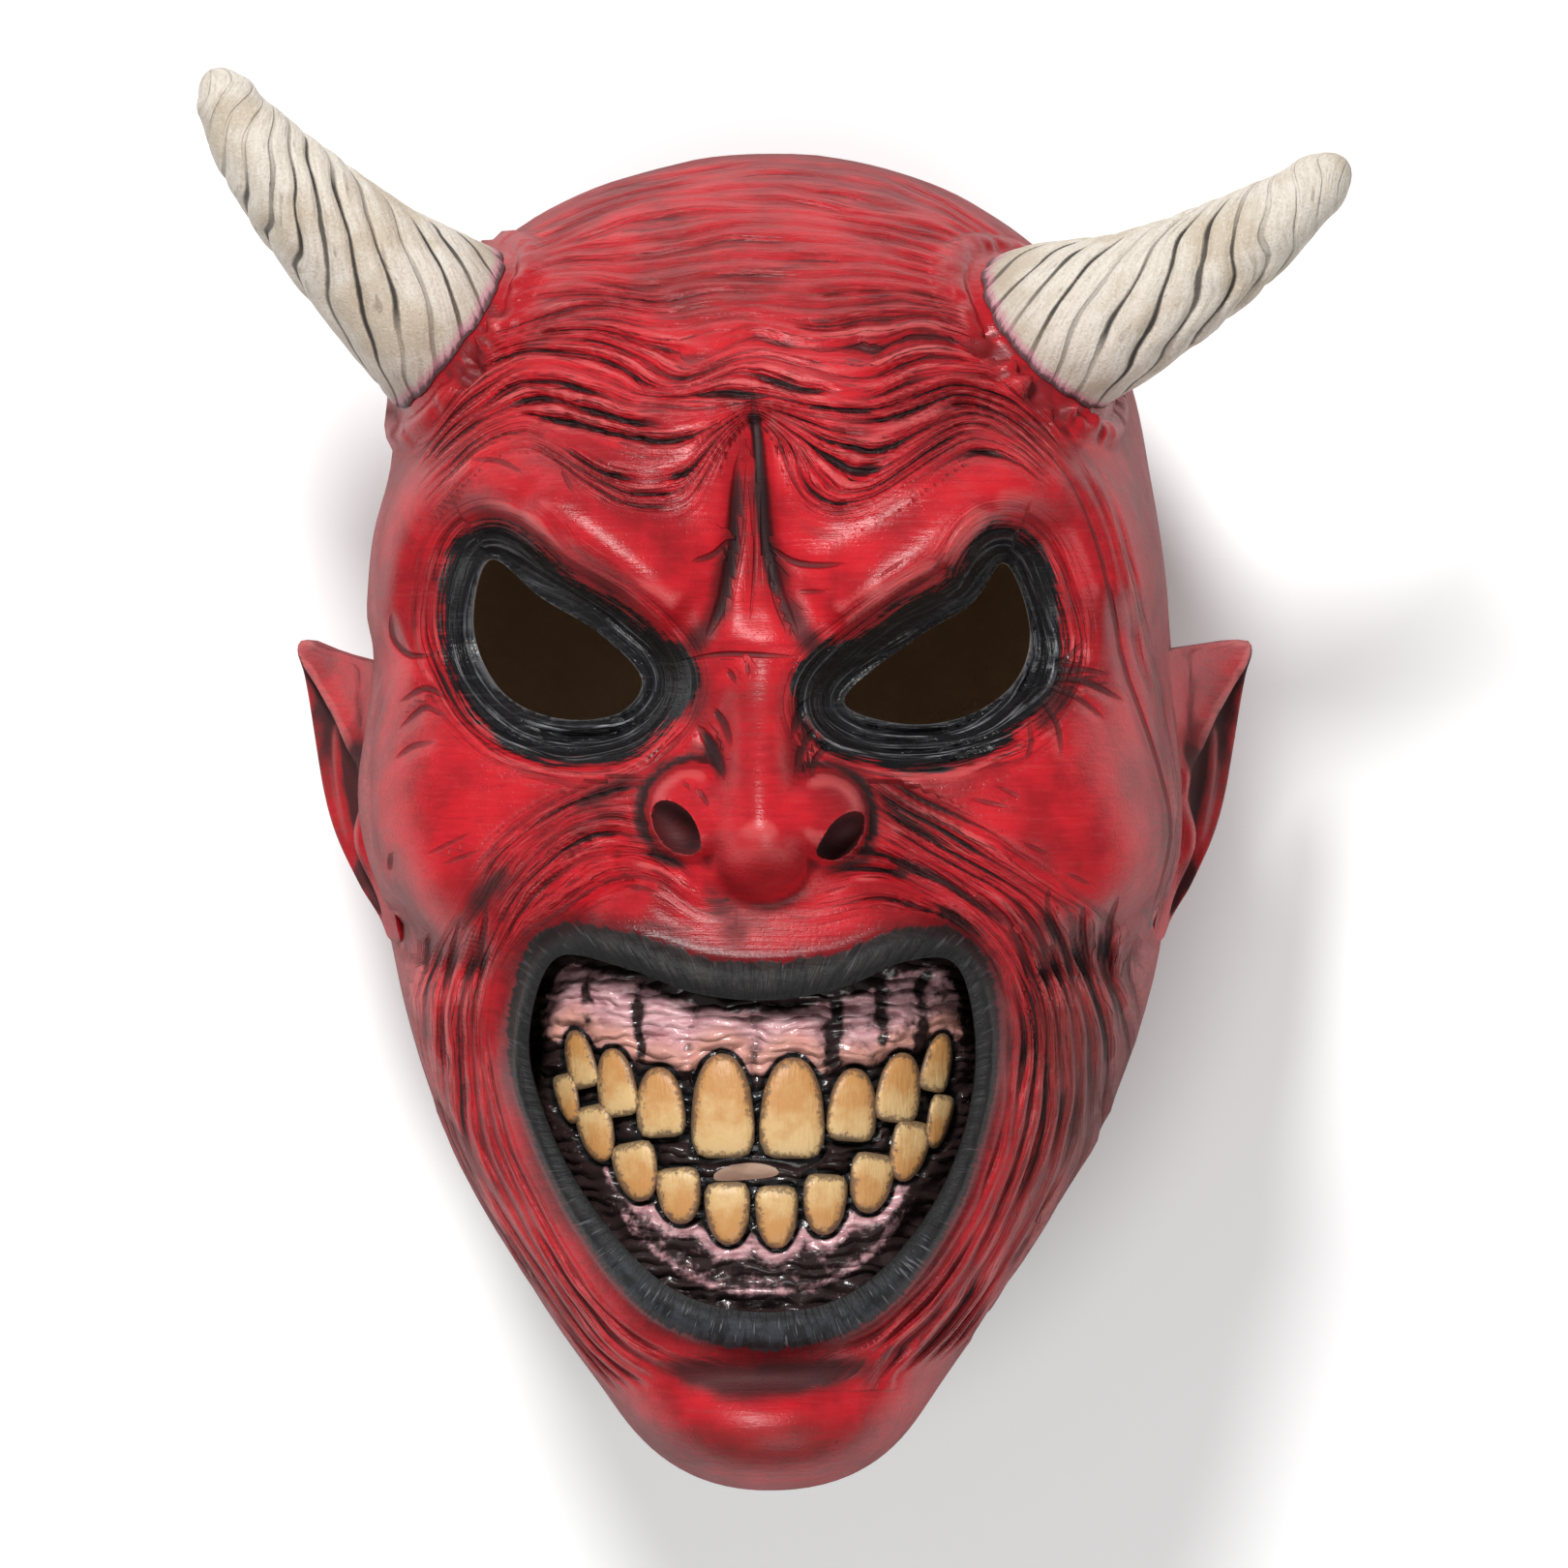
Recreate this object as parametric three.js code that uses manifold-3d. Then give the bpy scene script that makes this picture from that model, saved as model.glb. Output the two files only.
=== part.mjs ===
// A full-head latex devil mask: a thin hollow casting with ears, lips, gums and teeth in one skin,
// and two horns cast separately and glued to it. It lies face up on the back of its head.
// Millimetres, +Z up: the face looks along +Z, the crown points to +Y, the chin to -Y, and the
// wearer's right side is at -X. The origin is in the flat that the back of the head rests on.
import * as THREE from "three";
import { mergeVertices } from "three/addons/utils/BufferGeometryUtils.js";
import Module from "manifold-3d";

const wasm = await Module();
wasm.setup();

const { clamp, degToRad, lerp, smoothstep } = THREE.MathUtils;

// Driving dimensions of the skin
const WALL = 2.5;
const CROWN_Y = 134;
const CHIN_Y = -177;
const MIDDLE_Y = (CROWN_Y + CHIN_Y) / 2;
const HALF_HEIGHT = (CROWN_Y - CHIN_Y) / 2;

// The head's cross-sections, from crown to chin in steps of 15 degrees: half width, depth of the
// face and of the back of the head, each over the sine of the step, and where the widest line lies.
// The head leans a little to one side, by the last row.
const WIDTH = [122, 126, 125, 117.5, 104, 97, 95, 92.3, 88, 80, 78.5, 86, 100];
const FACE = [118, 118, 118, 122, 120, 106, 104, 108, 105, 107, 116, 138, 150];
const BACK = [118, 118, 120, 120, 116, 108.5, 105.5, 103, 106, 100, 98, 100, 110];
const WIDEST_Z = [100, 100, 100, 100, 100, 100, 102, 108, 120, 133, 147, 160, 168];
const LEAN = [0, -1, -2.5, -2.5, -1, 0, 0, 0.3, -0.5, -1.5, -1, 0, 0];
const FACE_ROUNDNESS = 2.3;
const BACK_ROUNDNESS = 2.1;

// The neck opening is trimmed along a plane from under the chin to the nape.
const TRIM_CHIN = new THREE.Vector3(0, -174, 150);
const TRIM_NAPE = new THREE.Vector3(0, -60, 6);

// Eye holes, as closed smooth curves over the face
const EYES = [
  [[-66, 36.5], [-54, 27.5], [-40, 18.8], [-30.5, 8], [-35, 1.2], [-49, -0.6], [-62.5, 5.2], [-69.8, 20]],
  [[53, 35.5], [46, 26.5], [32, 17.6], [16, 3.2], [30, -1.8], [45, 0.4], [56, 8.5], [59.2, 20]],
];
const SOCKET_DEPTH = 9;
const SOCKET_REACH = 17;

// Brow ridges, cheek folds and other forms that follow a line over the face
const STROKES = [
  { path: [[-12, 20], [-33, 37], [-54, 50], [-70, 54], [-81, 44], [-84, 28], [-83, 12]], width: 11, height: 10 },
  { path: [[8, 20], [30, 33], [45, 45], [58, 53], [70, 49], [76, 34], [77, 18]], width: 11, height: 10 },
  { path: [[-5, 72], [-5, 54], [-4, 38], [-3, 24]], width: 5, height: -3 },
  { path: [[-31, -30], [-44, -38], [-55, -50], [-64, -66], [-68, -86]], width: 7, height: -5 },
  { path: [[24, -30], [38, -41], [51, -53], [59, -68], [62, -88]], width: 7, height: -5 },
  { path: [[-92, -44], [-80, -56], [-68, -60]], width: 7, height: -5 },
  { path: [[92, -42], [76, -56], [63, -58]], width: 7, height: -5 },
  { path: [[-26, -150], [-2, -153], [24, -150]], width: 6, height: -6 },
];

// Swellings: centre, reach in x and y, and height
const SWELLINGS = [
  { x: -82, y: -18, rx: 19, ry: 24, height: 9 },
  { x: -72, y: -42, rx: 15, ry: 15, height: 4 },
  { x: 68, y: -22, rx: 25, ry: 23, height: 9 },
  { x: 78, y: -40, rx: 15, ry: 16, height: 4 },
  { x: -3, y: -166, rx: 27, ry: 13, height: 6 },
  { x: -23, y: 62, rx: 26, ry: 14, height: 3 },
  { x: 21, y: 60, rx: 26, ry: 14, height: 3 },
];

// The nose: a bridge that rises from between the brows, then a ball and two wings. Each round form
// has its centre this far above the plain face and half sizes along x, y and z.
const BRIDGE = { x: -2, rootY: 22, endY: -36, rootHeight: 5, endHeight: 22, rootWidth: 8, endWidth: 17 };
const NOSE_TIP = { x: -2, y: -28.5, z: 9, rx: 14, ry: 14, rz: 18 };
const NOSE_WINGS = [
  { x: -18.5, y: -21, z: 2, rx: 12, ry: 12.5, rz: 15 },
  { x: 13, y: -22, z: 2, rx: 11, ry: 12, rz: 14 },
];
const NOSTRILS = [
  { x: -21.5, y: -26, rx: 4.6, ry: 3.2, floor: 7 },
  { x: 15, y: -27, rx: 4.4, ry: 3, floor: 6 },
];

// The open mouth: its edge inside the lips, the lips, and the gums' arch set back behind them
const MOUTH = [
  [-50, -55.5], [-35, -57.5], [-18, -63.5], [-1, -65], [16, -62], [31, -56], [41, -56.5], [46, -72],
  [44, -94], [34, -116], [17, -132.5], [-3, -136.5], [-23, -131.5], [-40, -115], [-52, -94], [-56.5, -74],
];
const MOUTH_CENTRE = { x: -4, y: -96 };
const LIP = { out: 4, halfWidth: 4.6, halfHeight: 4.4 };
const GUMS = { x: -4, frontZ: 207, archRadius: 58, topY: -60, middleY: -103, bow: 0.0011 };
const SLIT = { x: -6.5, y: -103.6, rx: 7.5, ry: 1.9 };

// Teeth: place on the face, and width and height as seen from the front; tilt in degrees
const UPPER_TEETH = [
  [-44.8, -79, 6.4, 13, 14], [-36.4, -84.2, 8.6, 15.2, 9], [-26.2, -88.6, 10.6, 15.6, 4],
  [-11.9, -89.3, 13.8, 23.4, 1], [4.1, -89.8, 14.2, 22.6, -1], [17.9, -89.2, 10.6, 16.2, -4],
  [28.7, -85.4, 9.6, 15.6, -9], [37.6, -79.8, 6.2, 13, -13],
];
const LOWER_TEETH = [
  [-47.6, -88.2, 4.8, 11, 14], [-40.8, -96, 7.8, 12.6, 14], [-31.6, -104.6, 9.6, 13.2, 12],
  [-21.8, -110, 9.6, 12.4, 6], [-10.7, -114, 9.8, 13.8, 2], [0.5, -114.8, 9.2, 13.8, 0],
  [11.5, -112, 9.4, 13.4, -4], [22.1, -107.2, 9.4, 13.2, -10], [30.8, -100, 8.2, 13.6, -15],
  [37.8, -93.4, 5, 12, -13],
];
const TOOTH_RISE = 3.2;

// Ears: leaves that stand out and back from the sides of the head
const EAR = {
  middleY: -16, rootZ: 122, halfLength: 38, rootTop: 27.5, tip: 36, thickness: 3.4,
  splay: 24, rimHeight: 2.6, hollow: 2.2, bury: 7,
};
// How far the ear reaches from its root, from lobe to tip
const EAR_REACH = [3, 9, 19, 27, 32, 36, 39.5, 42, 41];

// Horns: a curved middle line from inside the head to the tip, and the radius along it
const HORNS = {
  horn_left: {
    line: [[-56, 74, 118], [-76, 91, 140], [-95, 106, 151], [-111.5, 122, 159], [-123.5, 136.5, 163], [-129, 146.5, 165]],
    radii: [23, 22, 16.6, 12.2, 8.3, 4.2],
  },
  horn_right: {
    line: [[46, 79, 138], [64.5, 89, 156], [83, 96, 166], [101, 105.5, 173], [117.3, 116.3, 177], [129, 125.8, 179]],
    radii: [23, 22, 17, 12.8, 8.6, 4.3],
  },
};
const COLLAR = { width: 4, height: 3 };
const GLUE_GAP = 0.3;

const RED_LATEX = new THREE.MeshStandardMaterial({ color: 0xb8202c, roughness: 0.5, metalness: 0 });
const BONE_LATEX = new THREE.MeshStandardMaterial({ color: 0xddd3c2, roughness: 0.6, metalness: 0 });

// The inside of the skin follows the outside loosely: it keeps to the lowest relief this far round.
const LOOSE_FIT = 5;

// Maths shared by all the forms

// The smooth value at share s, 0 to 1, of a row of equally spaced values that mirrors at its ends.
function ramp(values, s) {
  const last = values.length - 1;
  const at = clamp(s, 0, 1) * last;
  const i = Math.min(Math.floor(at), last - 1);
  const f = at - i;
  const mirrored = (k) => values[last - Math.abs(last - Math.abs(k))];
  const [a, b, c, d] = [i - 1, i, i + 1, i + 2].map(mirrored);
  return b + 0.5 * f * (c - a + f * (2 * a - 5 * b + 4 * c - d + f * (3 * (b - c) + d - a)));
}

function bell(distance, width) {
  return Math.exp(-((distance / width) ** 2));
}

function openCurve(points, steps) {
  return new THREE.SplineCurve(points.map(([x, y]) => new THREE.Vector2(x, y))).getPoints(steps);
}

function closedCurve(points, steps) {
  const line = points.map(([x, y]) => new THREE.Vector3(x, y, 0));
  const curve = new THREE.CatmullRomCurve3(line, true, "centripetal");
  return curve.getPoints(steps).slice(0, steps).map((p) => new THREE.Vector2(p.x, p.y));
}

// Distance from (x, y) to a line, and how far along it the nearest point is, 0 to 1.
function nearest(x, y, line, closed = false) {
  const count = closed ? line.length : line.length - 1;
  let best = Infinity;
  let along = 0;
  for (let i = 0; i < count; i += 1) {
    const a = line[i];
    const b = line[(i + 1) % line.length];
    const dx = b.x - a.x;
    const dy = b.y - a.y;
    const f = clamp(((x - a.x) * dx + (y - a.y) * dy) / (dx * dx + dy * dy), 0, 1);
    const distance = Math.hypot(x - a.x - f * dx, y - a.y - f * dy);
    if (distance < best) {
      best = distance;
      along = (i + f) / count;
    }
  }
  return { distance: best, along };
}

// Distance to a closed outline: positive outside it, negative inside.
function outside(x, y, outline) {
  const { distance } = nearest(x, y, outline, true);
  let inside = false;
  outline.forEach((a, i) => {
    const b = outline[(i + 1) % outline.length];
    if (a.y > y !== b.y > y && x < a.x + ((y - a.y) * (b.x - a.x)) / (b.y - a.y)) inside = !inside;
  });
  return inside ? -distance : distance;
}

const EYE_OUTLINES = EYES.map((points) => closedCurve(points, 24));
const MOUTH_OUTLINE = closedCurve(MOUTH, 34);
const STROKE_LINES = STROKES.map((stroke) => ({ ...stroke, line: openCurve(stroke.path, 12) }));

// Relief of the face, in height above the plain head

function bridge(x, y) {
  const along = clamp((BRIDGE.rootY - y) / (BRIDGE.rootY - BRIDGE.endY), 0, 1);
  const height = lerp(BRIDGE.rootHeight, BRIDGE.endHeight, along);
  const width = lerp(BRIDGE.rootWidth, BRIDGE.endWidth, along);
  const root = 1 - smoothstep(y, BRIDGE.rootY - 6, BRIDGE.rootY + 14);
  return height * bell(x - BRIDGE.x, width) * smoothstep(y, BRIDGE.endY - 8, BRIDGE.endY + 8) * root;
}

function strokes(x, y) {
  return STROKE_LINES.reduce((sum, { line, width, height }) => {
    const { distance, along } = nearest(x, y, line);
    const ends = smoothstep(along, 0, 0.12) * (1 - smoothstep(along, 0.86, 1));
    return sum + height * bell(distance, width) * lerp(0.35, 1, ends);
  }, 0);
}

function sockets(x, y) {
  return EYE_OUTLINES.reduce((sum, outline) => {
    return sum - SOCKET_DEPTH * (1 - smoothstep(outside(x, y, outline), 1, SOCKET_REACH));
  }, 0);
}

function relief(x, y) {
  const swellings = SWELLINGS.reduce((sum, s) => {
    return sum + s.height * bell(Math.hypot((x - s.x) / s.rx, (y - s.y) / s.ry), 1);
  }, 0);
  return swellings + strokes(x, y) + sockets(x, y) + bridge(x, y);
}

const ROUND_ABOUT = [[0, 0], [1, 0], [-1, 0], [0, 1], [0, -1], [0.7, 0.7], [-0.7, 0.7], [0.7, -0.7], [-0.7, -0.7]];

function looseRelief(x, y) {
  return Math.min(...ROUND_ABOUT.map(([u, v]) => relief(x + u * LOOSE_FIT, y + v * LOOSE_FIT)));
}

// The skin of the head

function plainHead(theta, t) {
  const s = Math.sin(t);
  const step = t / Math.PI;
  const halfWidth = Math.max(ramp(WIDTH, step) * s, 1e-6);
  const front = Math.cos(theta) >= 0;
  const depth = Math.max(ramp(front ? FACE : BACK, step) * s, 1e-6);
  const roundness = front ? FACE_ROUNDNESS : BACK_ROUNDNESS;
  const across = Math.abs(Math.sin(theta)) / halfWidth;
  const along = Math.abs(Math.cos(theta)) / depth;
  const radius = (across ** roundness + along ** roundness) ** (-1 / roundness);
  return new THREE.Vector3(
    ramp(LEAN, step) + radius * Math.sin(theta),
    MIDDLE_Y + HALF_HEIGHT * Math.cos(t),
    ramp(WIDEST_Z, step) + radius * Math.cos(theta),
  );
}

// The outward normal of a surface given as a function of the two angles.
function normalOf(surface, theta, t) {
  const step = 1e-3;
  const safe = clamp(t, 2 * step, Math.PI - 2 * step);
  const across = surface(theta + step, safe).sub(surface(theta - step, safe));
  const down = surface(theta, safe + step).sub(surface(theta, safe - step));
  return down.cross(across).normalize();
}

// Relief rises between the skin's own normal and the way the face looks.
function raised(theta, t, height) {
  const p = plainHead(theta, t);
  if (Math.cos(theta) <= 0) return p;
  const rise = normalOf(plainHead, theta, t);
  rise.z += 0.8;
  rise.normalize();
  const edge = smoothstep(Math.cos(theta), 0, 0.35);
  return p.addScaledVector(rise, height(p.x, p.y) * edge);
}

function outerSkin(theta, t, extra = 0) {
  const p = raised(theta, t, relief);
  if (extra) p.addScaledVector(normalOf(plainHead, theta, t), extra);
  p.z = Math.max(p.z, 0);
  return p;
}

function innerSkin(theta, t) {
  const loose = (a, b) => raised(a, b, looseRelief);
  const p = loose(theta, t).addScaledVector(normalOf(loose, theta, t), -WALL);
  p.z = Math.max(p.z, WALL);
  return p;
}

// Height of the plain face over a place on it
function plainZ(x, y) {
  const t = Math.acos(clamp((y - MIDDLE_Y) / HALF_HEIGHT, -1, 1));
  const step = t / Math.PI;
  const across = Math.min(Math.abs(x - ramp(LEAN, step)) / (ramp(WIDTH, step) * Math.sin(t)), 1);
  const depth = ramp(FACE, step) * Math.sin(t) * (1 - across ** FACE_ROUNDNESS) ** (1 / FACE_ROUNDNESS);
  return ramp(WIDEST_Z, step) + depth;
}

// Closed meshes

class Surface {
  constructor() {
    this.points = [];
    this.faces = [];
  }

  add(p) {
    this.points.push(p.x, p.y, p.z);
    return this.points.length / 3 - 1;
  }

  geometry() {
    return new THREE.BufferGeometry()
      .setAttribute("position", new THREE.Float32BufferAttribute(this.points, 3))
      .setIndex(this.faces);
  }
}

// A closed skin round the head. Each column runs from crown to chin at one angle, and columns
// with different numbers of rows are joined by a strip of triangles.
function headSurface(skin, columns) {
  const surface = new Surface();
  const crown = surface.add(skin(0, 0));
  const chin = surface.add(skin(0, Math.PI));
  const lines = columns.map(({ theta, rows }) => rows.map((t) => ({ t, index: surface.add(skin(theta, t)) })));
  lines.forEach((left, i) => {
    const right = lines[(i + 1) % lines.length];
    surface.faces.push(crown, left[0].index, right[0].index);
    surface.faces.push(chin, right.at(-1).index, left.at(-1).index);
    const slant = columns[i].theta > 0 ? 1e-9 : -1e-9;
    let a = 0;
    let b = 0;
    while (a < left.length - 1 || b < right.length - 1) {
      const leftNext = a < left.length - 1 ? left[a + 1].t : Infinity;
      const rightNext = b < right.length - 1 ? right[b + 1].t : Infinity;
      if (leftNext < rightNext + slant || b === right.length - 1) {
        surface.faces.push(left[a].index, left[a + 1].index, right[b].index);
        a += 1;
      } else {
        surface.faces.push(left[a].index, right[b + 1].index, right[b].index);
        b += 1;
      }
    }
  });
  return surface.geometry();
}

// Rows from crown to chin, with their counts over the forehead, the features and the chin.
function rowsOf(counts) {
  const ends = [0, degToRad(58), degToRad(152), Math.PI];
  const rows = [];
  counts.forEach((count, part) => {
    for (let i = 0; i < count; i += 1) rows.push(lerp(ends[part], ends[part + 1], i / count));
  });
  return rows.slice(1);
}

// Columns round the head, close together over the features.
function columnsOf({ face, side, back }, { faceRows, sideRows, backRows }) {
  const edge = degToRad(62);
  const parts = [
    { from: -Math.PI / 2, to: -edge, count: side, rows: sideRows },
    { from: -edge, to: edge, count: face, rows: faceRows },
    { from: edge, to: Math.PI / 2, count: side, rows: sideRows },
    { from: Math.PI / 2, to: 1.5 * Math.PI, count: back, rows: backRows },
  ];
  return parts.flatMap(({ from, to, count, rows }) => {
    return Array.from({ length: count }, (_, i) => ({ theta: lerp(from, to, i / count), rows: rowsOf(rows) }));
  });
}

// Joins a row of closed rings of equal length into one closed body: a loop, or with both ends fanned.
function loft(rings, loop = false) {
  const surface = new Surface();
  const count = rings[0].length;
  const index = rings.map((ring) => ring.map((p) => surface.add(p)));
  const middle = (ring) => ring.reduce((sum, p) => sum.add(p), new THREE.Vector3()).divideScalar(count);
  const fan = (ring, centre, j, k) => surface.faces.push(centre, ring[j], ring[k]);
  const first = loop ? 0 : surface.add(middle(rings[0]));
  const last = loop ? 0 : surface.add(middle(rings.at(-1)));
  for (let j = 0; j < count; j += 1) {
    const k = (j + 1) % count;
    for (let i = 0; i < rings.length - (loop ? 0 : 1); i += 1) {
      const next = index[(i + 1) % rings.length];
      surface.faces.push(index[i][j], index[i][k], next[k]);
      surface.faces.push(index[i][j], next[k], next[j]);
    }
    if (!loop) {
      fan(index[0], first, k, j);
      fan(index.at(-1), last, j, k);
    }
  }
  return surface.geometry();
}

// A solid from a closed mesh, whichever way round its faces were listed.
function solid(geometry) {
  const bare = mergeVertices(
    new THREE.BufferGeometry().setAttribute("position", geometry.getAttribute("position")).setIndex(geometry.index),
    1e-4,
  );
  const vertProperties = new Float32Array(bare.attributes.position.array);
  const build = (triVerts) => new wasm.Manifold(new wasm.Mesh({ numProp: 3, vertProperties, triVerts }));
  const listed = new Uint32Array(bare.index.array);
  const made = build(listed);
  return made.volume() > 0 ? made : build(listed.reverse());
}

function meshOf(made, name, material) {
  const { numProp, vertProperties, triVerts, numVert } = made.getMesh();
  const position = new Float32Array(numVert * 3);
  for (let i = 0; i < numVert; i += 1) {
    position.set(vertProperties.subarray(i * numProp, i * numProp + 3), i * 3);
  }
  const geometry = new THREE.BufferGeometry()
    .setAttribute("position", new THREE.BufferAttribute(position, 3))
    .setIndex(new THREE.BufferAttribute(new Uint32Array(triVerts), 1));
  geometry.computeVertexNormals();
  const mesh = new THREE.Mesh(geometry, material);
  mesh.name = name;
  return mesh;
}

// Cutters and pieces of the face

// A straight cutter along Z through a closed outline.
function prism(outline, fromZ, toZ) {
  return loft([fromZ, toZ].map((z) => outline.map((p) => new THREE.Vector3(p.x, p.y, z))));
}

function ellipse({ x, y, rx, ry }, steps) {
  return Array.from({ length: steps }, (_, i) => {
    const a = (2 * Math.PI * i) / steps;
    return new THREE.Vector2(x + rx * Math.cos(a), y + ry * Math.sin(a));
  });
}

// Height of the gums: an arch that falls back to both sides and bows a little from top to bottom.
function gumZ(x, y) {
  const across = clamp(Math.abs(x - GUMS.x), 0, GUMS.archRadius * 0.96);
  const arch = GUMS.archRadius - Math.sqrt(GUMS.archRadius ** 2 - across ** 2);
  return GUMS.frontZ - arch - GUMS.bow * (y - GUMS.middleY) ** 2;
}

// The space between the lips, down to the gums. With a margin it is larger by that on every side.
function mouthPocket(margin) {
  const surface = new Surface();
  const topZ = 270;
  const rings = [0.42, 0.76, 1];
  const grow = (p) => {
    const dx = p.x - MOUTH_CENTRE.x;
    const dy = p.y - MOUTH_CENTRE.y;
    const size = 1 + margin / Math.hypot(dx, dy);
    return [dx * size, dy * size];
  };
  const edge = MOUTH_OUTLINE.map(grow);
  const floorPoint = ([dx, dy], share) => {
    const x = MOUTH_CENTRE.x + dx * share;
    const y = MOUTH_CENTRE.y + dy * share;
    return surface.add(new THREE.Vector3(x, y, gumZ(x, y) - margin));
  };
  const floorMiddle = floorPoint([0, 0], 0);
  const floors = rings.map((share) => edge.map((p) => floorPoint(p, share)));
  const topMiddle = surface.add(new THREE.Vector3(MOUTH_CENTRE.x, MOUTH_CENTRE.y, topZ));
  const top = edge.map(([dx, dy]) => surface.add(new THREE.Vector3(MOUTH_CENTRE.x + dx, MOUTH_CENTRE.y + dy, topZ)));
  edge.forEach((_, j) => {
    const k = (j + 1) % edge.length;
    surface.faces.push(floorMiddle, floors[0][j], floors[0][k]);
    [...floors, top].forEach((ring, i, all) => {
      if (i === all.length - 1) return;
      surface.faces.push(ring[j], all[i + 1][j], all[i + 1][k], ring[j], all[i + 1][k], ring[k]);
    });
    surface.faces.push(topMiddle, top[k], top[j]);
  });
  return surface.geometry();
}

// The lips: a flattened roll round the mouth, lying on the face.
function lips() {
  const sides = 6;
  const rings = MOUTH_OUTLINE.map((p, i) => {
    const next = MOUTH_OUTLINE[(i + 1) % MOUTH_OUTLINE.length];
    const before = MOUTH_OUTLINE.at(i - 1);
    const out = new THREE.Vector2(before.y - next.y, next.x - before.x).normalize();
    if (out.dot(new THREE.Vector2(p.x - MOUTH_CENTRE.x, p.y - MOUTH_CENTRE.y)) < 0) out.negate();
    return Array.from({ length: sides }, (_, k) => {
      const a = (2 * Math.PI * k) / sides;
      const reach = LIP.out + LIP.halfWidth * Math.cos(a);
      const x = p.x + out.x * reach;
      const y = p.y + out.y * reach;
      return new THREE.Vector3(x, y, plainZ(x, y) + relief(x, y) + LIP.halfHeight * Math.sin(a));
    });
  });
  return loft(rings, true);
}

// A squashed ball that sits on the face
function ball({ x, y, z, rx, ry, rz }) {
  return new THREE.SphereGeometry(1, 10, 8).rotateX(Math.PI / 2).scale(rx, ry, rz).translate(x, y, plainZ(x, y) + z);
}

// One tooth: a rounded plate that stands on the gum, narrower at its gum end.
function tooth([x, y, width, height, tilt], gumEnd) {
  const outline = [
    [-0.5, -0.4], [-0.34, -0.5], [0.34, -0.5], [0.5, -0.4], [0.46, 0.16], [0.22, 0.47], [-0.22, 0.47], [-0.46, 0.16],
  ];
  const turn = degToRad(tilt);
  const rings = [
    { size: 1, rise: -3 },
    { size: 0.84, rise: TOOTH_RISE },
  ];
  return loft(
    rings.map(({ size, rise }) => {
      return outline.map(([u, v]) => {
        const a = u * width * size;
        const b = v * height * size * gumEnd;
        const px = x + a * Math.cos(turn) - b * Math.sin(turn);
        const py = y + a * Math.sin(turn) + b * Math.cos(turn);
        return new THREE.Vector3(px, py, gumZ(px, py) + rise);
      });
    }),
  );
}

// The side of the plain head at a height y and the depth where the ear is rooted
function sideX(side, y) {
  const t = Math.acos(clamp((y - MIDDLE_Y) / HALF_HEIGHT, -1, 1));
  return plainHead((side * Math.PI) / 2, t).x * 0.985;
}

// One ear: closed sections stacked from the lobe to the pointed tip.
function ear(side) {
  const splay = degToRad(EAR.splay);
  const out = new THREE.Vector3(side * Math.sin(splay), 0, -Math.cos(splay));
  const facing = new THREE.Vector3(side * Math.cos(splay), 0, Math.sin(splay));
  const sections = 10;
  const across = 4;
  const rings = [];
  for (let i = 0; i <= sections; i += 1) {
    const share = i / sections;
    const b = lerp(-EAR.halfLength, EAR.tip, share);
    const y = EAR.middleY + b;
    const reach = ramp(EAR_REACH, share);
    const start = b > EAR.rootTop ? (reach * (b - EAR.rootTop)) / (EAR.tip - EAR.rootTop) * 0.9 : -EAR.bury;
    const root = new THREE.Vector3(sideX(side, y), y, EAR.rootZ);
    const place = (a, n) => root.clone().addScaledVector(out, a).addScaledVector(facing, n);
    const cup = (a) => 1.5 * (a / 40) ** 2;
    const frontFace = [];
    const backFace = [];
    for (let j = 0; j <= across; j += 1) {
      const f = j / across;
      const a = lerp(start, reach, f);
      const rim = EAR.rimHeight * bell(reach - a - 2, 3);
      const hollow = EAR.hollow * bell(f - 0.55, 0.28) * smoothstep(reach, 8, 24);
      const half = (EAR.thickness / 2) * Math.sqrt(clamp((reach - a) / 2, 0.15, 1));
      frontFace.push(place(a, cup(a) + half + rim - hollow));
      backFace.push(place(a, cup(a) - half));
    }
    rings.push([...frontFace, ...backFace.reverse()]);
  }
  return loft(rings);
}

// One horn: round sections along its curved middle line, closed by a blunt tip.
function horn({ line, radii }, margin = 0) {
  const curve = new THREE.CatmullRomCurve3(line.map(([x, y, z]) => new THREE.Vector3(x, y, z)));
  const sections = 8;
  const sides = 11;
  const rings = [];
  for (let i = 0; i <= sections; i += 1) {
    const s = i / sections;
    rings.push(hornRing(curve, s, ramp(radii, s) + margin, 0, sides));
  }
  const tipRadius = radii.at(-1) + margin;
  [0.55, 0.85].forEach((share) => {
    rings.push(hornRing(curve, 1, tipRadius * Math.sqrt(1 - share ** 2), tipRadius * share, sides));
  });
  return loft(rings);
}

function hornRing(curve, s, radius, ahead, sides) {
  const middle = curve.getPoint(s);
  const along = curve.getTangent(s);
  middle.addScaledVector(along, ahead);
  const u = new THREE.Vector3(0, 0, 1).addScaledVector(along, -along.z).normalize();
  const v = along.clone().cross(u);
  return Array.from({ length: sides }, (_, k) => {
    const a = (2 * Math.PI * k) / sides;
    return middle.clone().addScaledVector(u, radius * Math.cos(a)).addScaledVector(v, radius * Math.sin(a));
  });
}

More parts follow.
